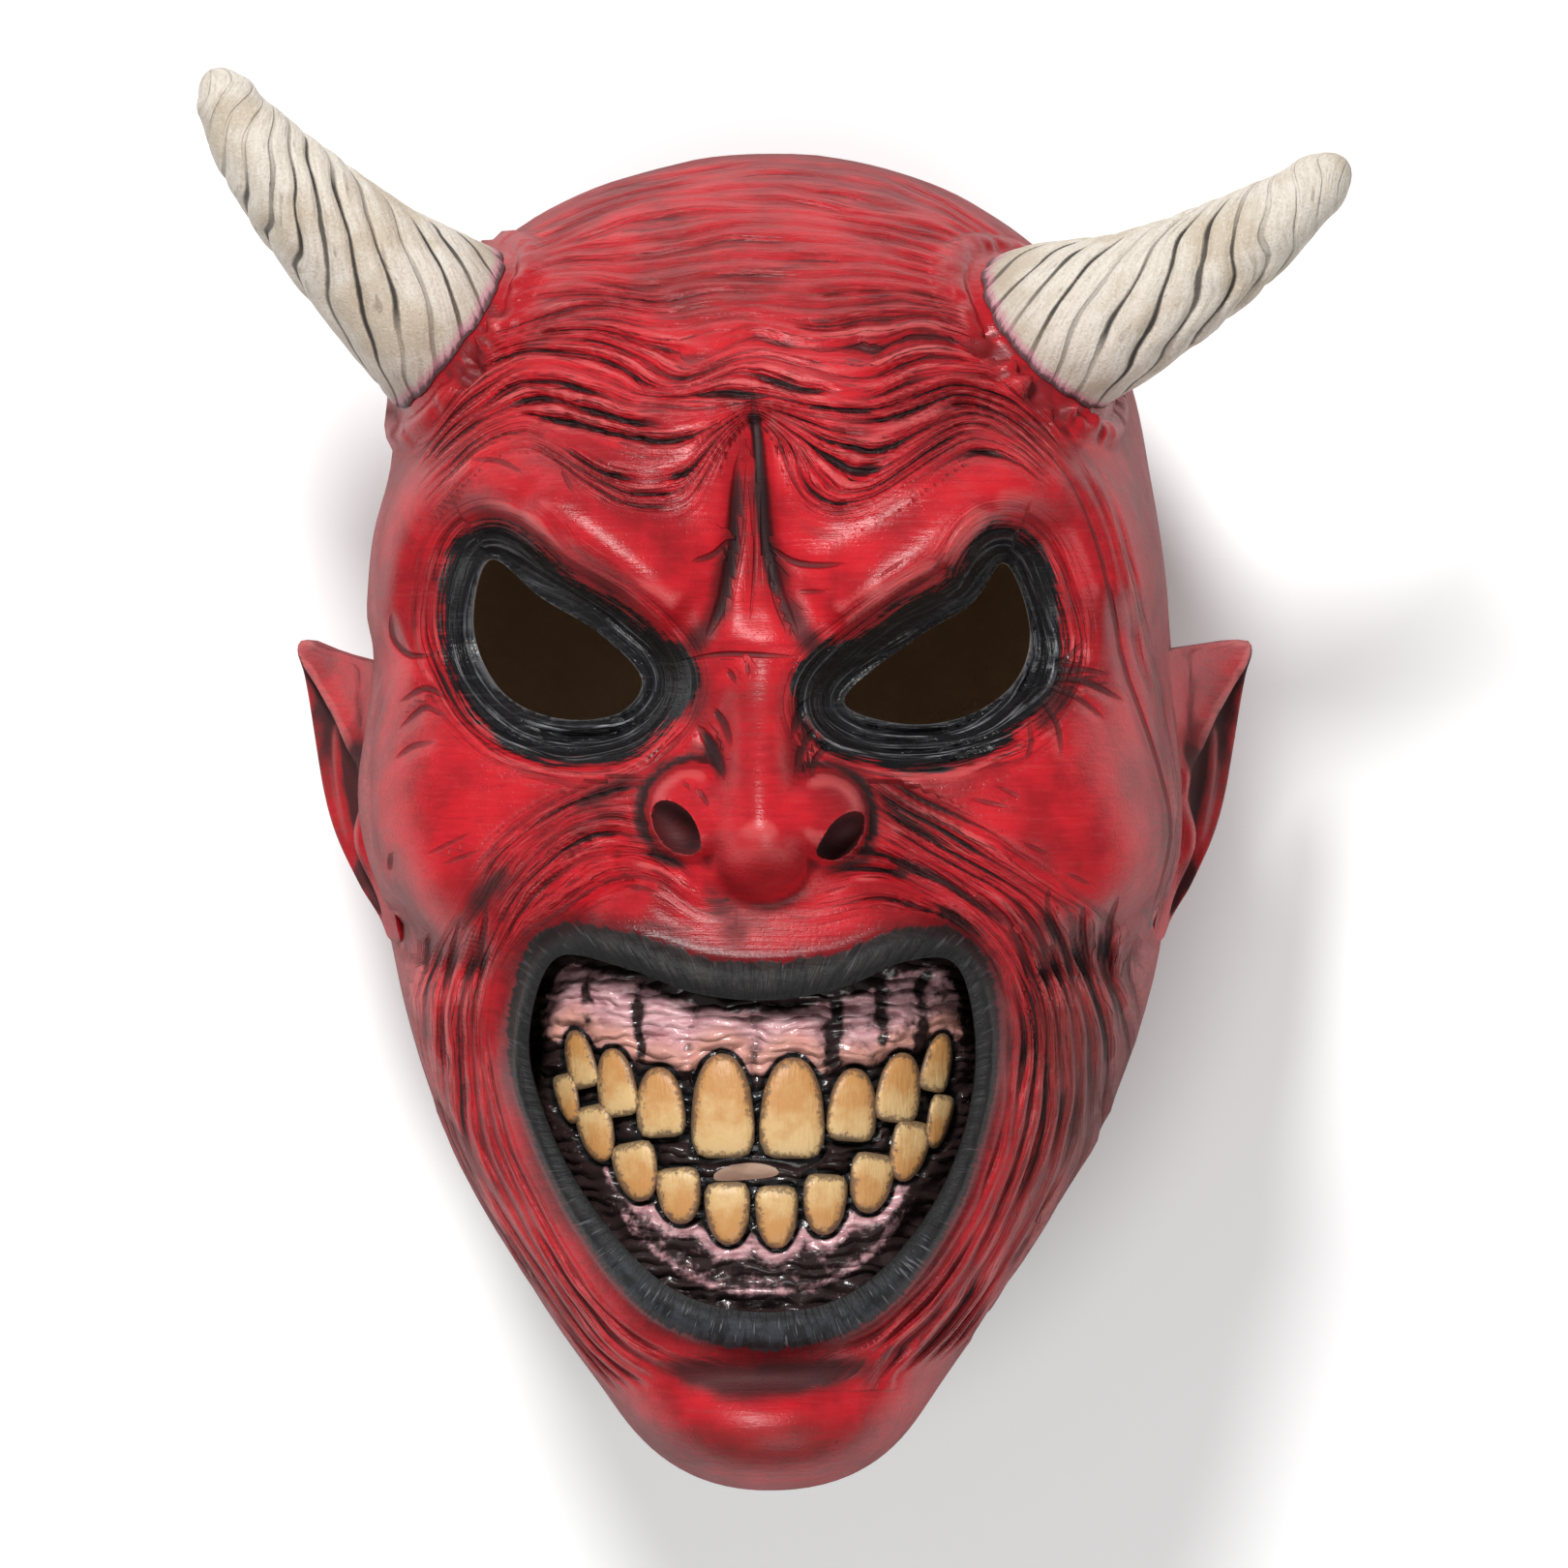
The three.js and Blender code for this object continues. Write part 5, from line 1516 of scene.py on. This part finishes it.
# %% [markdown]
# The holes come last. The eye holes and the slit are blocks with a drawn outline, cut clean through.
# The nostrils are eggs that stop inside the wings, painted like the skin. One large block trims the
# neck with a straight cut, as scissors would.

# %% Eye holes, nostrils, slit and neck opening
EYE_Z, SLIT_Z = (120, 280), (196, 206)
TRIM_CHIN, TRIM_NAPE, TRIM_SIZE = np.array([0, -174, 150.0]), np.array([0, -60, 6.0]), 600

for line in EYE_LINES:
    combine(head, give_material(outline_prism("eye_hole", line, *EYE_Z), cut_edge), "DIFFERENCE")
for nostril in NOSTRILS:
    combine(head, give_material(egg("nostril", *nostril), skin_paint), "DIFFERENCE")
slit = outline_prism("slit", ellipse(*SLIT), *SLIT_Z, SLIT_LEAN)
combine(head, give_material(slit, cut_edge), "DIFFERENCE")

deselect()
bpy.ops.mesh.primitive_cube_add(size=TRIM_SIZE * MM)
trim = bpy.context.object
trim.name = "neck_trim"
along = (TRIM_NAPE - TRIM_CHIN) / np.linalg.norm(TRIM_NAPE - TRIM_CHIN)
away = np.cross(along, [1, 0, 0])
away *= -np.sign(away[1])
corner = points_of(trim)
side = np.cross(along, away)
p = TRIM_CHIN + corner[:, :1] * side + corner[:, 1:2] * along + (corner[:, 2:] + TRIM_SIZE / 2) * away
move_points(trim, p)
give_material(face_outwards(trim), bare_latex)
combine(head, trim, "DIFFERENCE")

# %% [markdown]
# ## Horns
#
# A horn is a sphere drawn out along the horn's curve. Dark grooves run round it in long spirals, with
# small notches where they reach its outline, and they fade towards the tip. The seat, a copy of the
# head a hair's breadth larger, is taken away from it, so the horn sits on the collar with only the
# glue's gap between. A pink and a dark ring mark the joint.

# %% Horns
GROOVE_SPACING, GROOVE_DEPTH, BAND_DEPTH = 9.2, 0.9, 0.5
TIP_SHARE, TIP_LENGTH, TIP_AHEAD = 0.88, 13, 4.4
CURVE_STEPS = 400


def horn(name, horn_line, radii, hand):
    obj = new_sphere(name, 128, 170)
    turn, down = sphere_angles(obj)
    share = down / np.pi
    curve = smooth_line(horn_line, CURVE_STEPS)
    last = CURVE_STEPS - 1
    length = length_of(curve) + TIP_AHEAD
    body = np.clip((share - 0.006) / (TIP_SHARE - 0.006), 0, 1)
    cap = np.sin(np.clip((share - TIP_SHARE) / (0.995 - TIP_SHARE), 0, 1) * np.pi / 2)
    up = body * (length - TIP_LENGTH) + cap * TIP_LENGTH
    s = up / length
    at = np.minimum(up / length_of(curve), 1) * last
    i = np.minimum(at.astype(int), last - 1)
    middle = lerp(curve[i], curve[i + 1], (at - i)[:, None])
    ahead = curve[np.minimum(i + 2, last)] - curve[np.maximum(i - 2, 0)]
    ahead /= np.linalg.norm(ahead, axis=1, keepdims=True)
    u = np.array([0, 0, 1]) - ahead[:, 2:] * ahead
    u /= np.linalg.norm(u, axis=1, keepdims=True)
    v = np.cross(ahead, u)
    round_it = ramp(radii, body) * turn
    number = (up + hand * round_it) / GROOVE_SPACING + 0.3 * drift(up / 13, round_it / 9, 61)
    groove_along = (up - hand * round_it) / 1.4
    groove = np.round(number)
    valley = (0.5 + 0.5 * np.cos(2 * np.pi * number)) ** 2
    behind = 1 - smoothstep(np.abs(turn), 2.5, 3)
    strength = np.clip(0.75 + 0.8 * drift(groove_along / 16, groove * 3.7, 62), 0.12, 1) * behind
    strength = strength * (1 - smoothstep(s, 0.62, 0.84))
    at_base = lerp(0.3, 1, smoothstep(body, 0.3, 0.5))
    radius = ramp(radii, body) - GROOVE_DEPTH * strength * at_base * valley**2
    radius = radius - BAND_DEPTH * at_base * valley * behind * (1 - smoothstep(s, 0.58, 0.8))
    radius = radius + 0.25 * drift(up / 6, round_it / 4, 63) * (1 - smoothstep(s, 0.6, 0.8))
    radius = np.where(share < 0.003, 0, radius) * np.sqrt(np.clip(1 - cap**2, 0, 1))
    middle = middle + ahead * np.clip(up - length + TIP_AHEAD, 0, None)[:, None]
    p = middle + u * (radius * np.cos(turn))[:, None] + v * (radius * np.sin(turn))[:, None]
    move_points(obj, p)
    face_outwards(obj)
    set_values(obj, "flow", np.column_stack([groove_along / 10, number, strength]))
    return obj


horn_paint, paint, shader, place = new_material("horn_paint")
flow = paint.split(paint.read("flow"))
lines = paint.group("Carved lines", Along=flow[0], Across=flow[1], Sharpness=0.66, Ragged=0.45, Between=0.0)
grain = paint.group("Latex grain", Vector=place)
fibres = paint.noise(paint.vector(flow[0] * 1.2, flow[1] * 5.5), detail=6.0, roughness=0.65)
clouds = paint.noise(place, scale=0.06, detail=4.0)
short = paint.noise(paint.vector(flow[0] * 0.9, flow[1] * 2.6), detail=4.0)
short = paint.step(short, 0.6, 0.68) * paint.step(paint.noise(place, scale=0.09), 0.42, 0.58)
flecks = paint.noise(place, scale=0.5, detail=4.0, roughness=0.7)
mottle = paint.noise(place, scale=1.5, detail=3.0, roughness=0.7)
joint = paint.read("joint", "Fac") + (fibres - 0.5) * 4.0
colour = paint.layers((0.57, 0.50, 0.41, 1), [
    (paint.step(fibres, 0.3, 0.6), (0.71, 0.65, 0.57, 1)),
    (paint.step(clouds, 0.45, 0.62) * 0.8, (0.52, 0.43, 0.32, 1)),
    (short * 0.6, (0.20, 0.15, 0.10, 1)),
    (paint.step(flecks, 0.6, 0.72) * 0.5, (0.38, 0.31, 0.23, 1)),
    (paint.step(mottle, 0.5, 0.68) * 0.45, (0.42, 0.35, 0.27, 1)),
    (paint.step(mottle, 0.45, 0.3) * 0.5, (0.80, 0.76, 0.70, 1)),
    # Dark grooves: dark paint and painted shade.
    (lines["Line"] * flow[2], (0.035, 0.028, 0.022, 1)),
    (paint.step(joint, 14.0, 2.0) * 0.35, (0.30, 0.22, 0.15, 1)),
    (paint.step(joint, 3.6, 1.2) * 0.65, (0.52, 0.14, 0.24, 1)),
    (paint.step(joint, 1.7, 0.5) * 0.85, (0.05, 0.02, 0.02, 1)),
])
height = fibres * 0.6 + lines["Line"] * -0.5 - mottle * 0.3 + grain["Height"]
finish_material(paint, shader, colour, 0.42 + fibres * 0.25, height, strength=0.8)


def gap_to(obj, p):
    """How far each place is from the nearest surface of an object."""
    near = [obj.closest_point_on_mesh(Vector(place))[1] for place in p * MM]
    return np.linalg.norm(p - np.array(near) / MM, axis=1)


horns = []
for name, form in HORNS.items():
    made = horn("bone_" + name, form["line"], form["radii"], form["hand"])
    give_material(made, horn_paint)
    combine(made, horn_seat, "DIFFERENCE", keep=True)
    set_values(made, "joint", gap_to(horn_seat, points_of(made)))
    horns.append((made, name))
bpy.data.objects.remove(horn_seat)

# %% [markdown]
# ## Numbers for the paint
#
# The cuts have made new points, so the numbers that the paint needs are worked out now, for every point
# of the finished mesh. The dark wash, which also paints the shade, gathers in what lies low: a point is
# in a hollow when smoothing a copy of the mesh lifts it. One table of patches says where the hollows
# are darker, the other where the red is browner and duller.

# %% Where the wash and the painted shade gather
FINE_ROUNDS, GUM_ROUNDS, BROAD_ROUNDS, EVEN_ROUNDS = 6, 5, 30, 2
PAINTED_FROM_Z = (60, 95)
DARKER_HOLLOWS = [
    (-38, 60, 42, 18, 0.6), (30, 60, 38, 18, 0.6), (-4, 42, 14, 30, 0.6), (-40, -20, 24, 14, 0.65),
    (38, -32, 28, 20, 0.65), (70, -78, 22, 44, 0.65), (-72, -70, 14, 40, 0.35), (0, -150, 26, 8, 0.5),
    (-4, -2, 14, 16, 0.5), (-50, 2, 36, 16, 0.3), (38, 2, 36, 16, 0.3),
]
# Patches where the red is browner and duller: the right jaw and side, under the nose and eyes, the
# forehead, crown, chin and ears.
DULL_BROWN_PATCHES = [
    (72, -84, 20, 44, 1), (-70, -75, 11, 34, 0.45), (90, -20, 8, 36, 0.5), (-4, -47, 18, 7, 0.6),
    (-38, -18, 18, 10, 0.5), (34, -22, 18, 10, 0.6), (-5, 4, 10, 14, 0.5), (-2, 132, 80, 12, 0.6),
    (-4, 100, 62, 20, 0.55), (-3, -168, 34, 11, 0.8), (62, -104, 14, 36, 0.75), (-4, 34, 12, 24, 0.45),
    (-102, -10, 12, 34, 0.6), (102, -10, 12, 34, 0.7),
]


def spread(obj, rows, rounds):
    """Rows of values on the points, each evened out with its neighbours a number of times."""
    edges = np.zeros(len(obj.data.edges) * 2, int)
    obj.data.edges.foreach_get("vertices", edges)
    a, b = edges.reshape(-1, 2).T
    size = rows.shape[1]
    count = np.bincount(a, minlength=size) + np.bincount(b, minlength=size)
    for _ in range(rounds):
        near = np.array([np.bincount(a, row[b], size) + np.bincount(b, row[a], size) for row in rows])
        rows = (rows + near / count) / 2
    return rows


def hollows(obj, rounds):
    """How far each point lies below its surroundings, from smoothing a copy of the points."""
    p = points_of(obj)
    soft = spread(obj, p.T, rounds).T
    depth = np.sum((soft - p) * normals_of(obj), axis=1)
    return spread(obj, depth[None], EVEN_ROUNDS)[0]


# %% Numbers on the finished mesh
p = points_of(head)
x, y = seen(p)
flow, _ = folds(p)
signed, cut_strength, _ = cuts(x, y)
_, near_collar, pucker = collar(p)
mouth_gap, _ = outside(p[:, 0], p[:, 1], MOUTH_LINE)
over = mouth_gap - lip_width(p[:, 0], p[:, 1])
flow[:, 2] *= smoothstep(over, -1, 1.5) * (1 - near_collar)
front = smoothstep(p[:, 2], *PAINTED_FROM_Z)
hollow = get_values(head, "hollow")
# Stains, with painted shade under the nose, brows and cheeks, and the painted shade in nostrils and ears.
stain = np.maximum(stains_and_shade(x, y) * front, hollow)
# The collar is darker, most in its pucker valleys: dark wash and painted shade.
stain = np.maximum(stain, near_collar * (0.15 + 0.55 * smoothstep(-pucker, 0.2, 1)))
hollow_darkening = np.full(len(p), 0.35)
for *place, more in DARKER_HOLLOWS:
    hollow_darkening = hollow_darkening + more * mound(x, y, *place)
fine, broad = hollows(head, FINE_ROUNDS), hollows(head, BROAD_ROUNDS)
# Darkness in the fine and the broad hollows: dark wash and painted shade.
hollow_shade_and_wash = smoothstep(fine, 0.03, 0.42) + 0.14 * smoothstep(broad, 0.3, 1.6)
# Per point: the hollows' darkness, the raised crests (rubbed paint and painted highlights), and how
# strongly the hollows darken.
shade_and_wear = np.column_stack([hollow_shade_and_wash * np.clip(hollow_darkening, 0, 1), smoothstep(-fine, 0.05, 0.4), hollow_darkening])
set_values(head, "shade_and_wear", shade_and_wear * (front * (1 - 0.6 * near_collar))[:, None])
set_values(head, "near_horn", near_collar)
# Sideways faces: duller gloss, and painted shade in the paint.
set_values(head, "sideways", 1 - smoothstep(normals_of(head)[:, 2], -0.1, 0.7))
dull_brown = np.zeros(len(p))
for *place, more in DULL_BROWN_PATCHES:
    dull_brown = np.maximum(dull_brown, more * mound(x, y, *place))
set_values(head, "dull_brown", dull_brown * front)
set_values(head, "flow", flow)
set_values(head, "marks", np.column_stack([signed, cut_strength * front, stain]))
print("stained points", int((stain > 0.5).sum()), "points in a cut", int((cut_strength > 0.5).sum()))

# %% [markdown]
# The liner and the lips are distances from drawn lines: how far each point is past the edge of the
# black round the eyes, past the edge of the lips, and from the mouth. Two numbers that go round the
# mouth let the nicks run across the lips.

# %% Liner and lips
LINER_WIDTH, FACE_FROM_Z, FAR_OFF = 8.2, 110, 40
liner = np.full(len(p), float(FAR_OFF))
for line, (cx, cy) in zip(EYE_LINES, EYE_CORNERS):
    corner = 8 * bell(np.hypot(x - cx, y - cy), 8)
    below = 2.2 * smoothstep(-y, -1, 7)
    liner = np.minimum(liner, outside(p[:, 0], p[:, 1], line)[0] - LINER_WIDTH - corner - below)
liner = np.where(p[:, 2] > FACE_FROM_Z, liner, FAR_OFF)
over = np.where(p[:, 2] > FACE_FROM_Z, over, FAR_OFF)
set_values(head, "edges", np.column_stack([liner, over, mouth_gap]))
direction = np.arctan2(p[:, 1] - MOUTH_Y, p[:, 0] - MOUTH_X)
round_lip = np.column_stack([30 * np.cos(direction), 30 * np.sin(direction), mouth_gap * 0.08])
set_values(head, "round_lip", round_lip)
print("points on the liner", int((liner < 0).sum()), "points on the lips", int((over < 0).sum()))

# %% [markdown]
# The gums are dark in their furrows, in the bite, in their hollows, under the lips and low between the
# teeth: dark paint and painted shade. They are darker towards the right, and salmon just above the
# upper teeth.

# %% Gums and teeth
gap, upper, gumward = tooth_gap(p[:, 0], p[:, 1])
set_values(head, "gumward", gumward)
inside = -mouth_gap
dark = furrow(p[:, 0], p[:, 1]) * 1.25 + 0.12 * columns(p[:, 0], p[:, 1])
lower = (upper < 0) * smoothstep(-p[:, 1], 98, 104)
rim = 0.5 * bell(inside - 4.5, 1.1) * smoothstep(-p[:, 1], 108, 116)
shade = lerp(5.5, 1.5, smoothstep(p[:, 1], -84, -72))
dark = np.maximum(dark, 1 - smoothstep(inside, shade, shade + 3) - rim)
dark = np.maximum(dark, between_rows(p[:, 0], p[:, 1]))
dark = np.maximum(dark, lerp(0.3, 0.85, smoothstep(gap, 1.8, 4.5)) * lower - rim)
dark = np.maximum(dark, 0.4 * smoothstep(p[:, 0], 4, 20) * (upper > 0))
dark = np.maximum(dark, 0.5 * smoothstep(hollows(head, GUM_ROUNDS), 0.15, 0.6))
salmon = bell(gap - 3, 3) * (upper > 0) * smoothstep(p[:, 1], -92, -84)
set_values(head, "gums", np.column_stack([gap, dark, salmon]))
print("mask", len(p), "points")

# %% [markdown]
# ## Shading and bookkeeping
#
# Smooth shading with a limiting angle keeps the folds soft and the cut edges crisp. Each finished piece
# rides on the one body and hides the CAD node that it stands for.

# %% Finished pieces
SMOOTH_ANGLE = math.radians(55)
for obj, node, slot in [(head, "mask_skin", "skin")] + [(made, name, "horn") for made, name in horns]:
    activate(obj)
    bpy.ops.object.shade_smooth_by_angle(angle=SMOOTH_ANGLE)
    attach(obj, "root")
    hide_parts(node)
    triangles = sum(len(face.vertices) - 2 for face in obj.data.polygons)
    low, high = points_of(obj).min(axis=0), points_of(obj).max(axis=0)
    print(obj.name, triangles, "triangles", low.round(1), high.round(1))

# %% [markdown]
# ## Floor, light and camera
#
# The mask is photographed on white. A small bright light beyond the crown gives the folds their shadows
# and the latex its glossy streaks, and a wide weak one beyond the chin and a white surround fill in.
# Away from the mask the floor glows a little, so that it stays white.

# %% Floor
SHADOW_REACH = (120, 170)
deselect()
bpy.ops.mesh.primitive_plane_add(size=12, location=(0, 0, 0))
floor = bpy.context.object
floor.name = "floor"
floor_white, paint, shader, place = new_material("floor_white")
mottle = paint.noise(place, scale=0.004, detail=3.0)
colour = paint.mix(mottle, (0.88, 0.88, 0.88, 1), (0.92, 0.92, 0.92, 1))
finish_material(paint, shader, colour, 0.8 + mottle * 0.1, mottle, depth=0.0001)
spot = paint.split(place)
across, along = [paint.math("POWER", abs(spot[i] * (1 / half)), 2.0) for i, half in enumerate(SHADOW_REACH)]
glow = paint.mix(paint.step(across + along, 0.5, 1.2), (0, 0, 0, 1), (1, 1, 1, 1))
paint.feed(shader.inputs, {"Emission Color": glow, "Emission Strength": 0.3})
give_material(floor, floor_white)

# %% Light
world = bpy.data.worlds.new("studio")
bpy.context.scene.world = world
world.use_nodes = True
world.node_tree.nodes["Background"].inputs["Color"].default_value = (1, 1, 1, 1)
world.node_tree.nodes["Background"].inputs["Strength"].default_value = 0.22


AIM = Vector((0, 0, 0.15))


def area_light(name, place, size, power):
    light = bpy.data.lights.new(name, "AREA")
    light.shape, light.size, light.energy = "DISK", size, power
    obj = bpy.data.objects.new(name, light)
    obj.location = place
    obj.rotation_mode = "QUATERNION"
    obj.rotation_quaternion = (AIM - Vector(place)).to_track_quat("-Z", "Y")
    bpy.context.collection.objects.link(obj)


area_light("key", (-0.32, 0.8, 1.5), size=0.36, power=26)
area_light("fill", (0.4, -1.2, 1.5), size=1.2, power=10)
print("watts", {light.name: light.energy for light in bpy.data.lights})

# %% Camera
camera = bpy.data.objects.new("camera", bpy.data.cameras.new("camera"))
camera.data.lens, camera.data.sensor_width = 300, 36
camera.location = (CAMERA_X * MM, CAMERA_Y * MM, CAMERA_Z * MM)
camera.data.clip_end = 20
bpy.context.collection.objects.link(camera)
bpy.context.scene.camera = camera
bpy.context.scene.view_settings.view_transform = "Standard"
print("camera at", [round(v, 3) for v in camera.location])
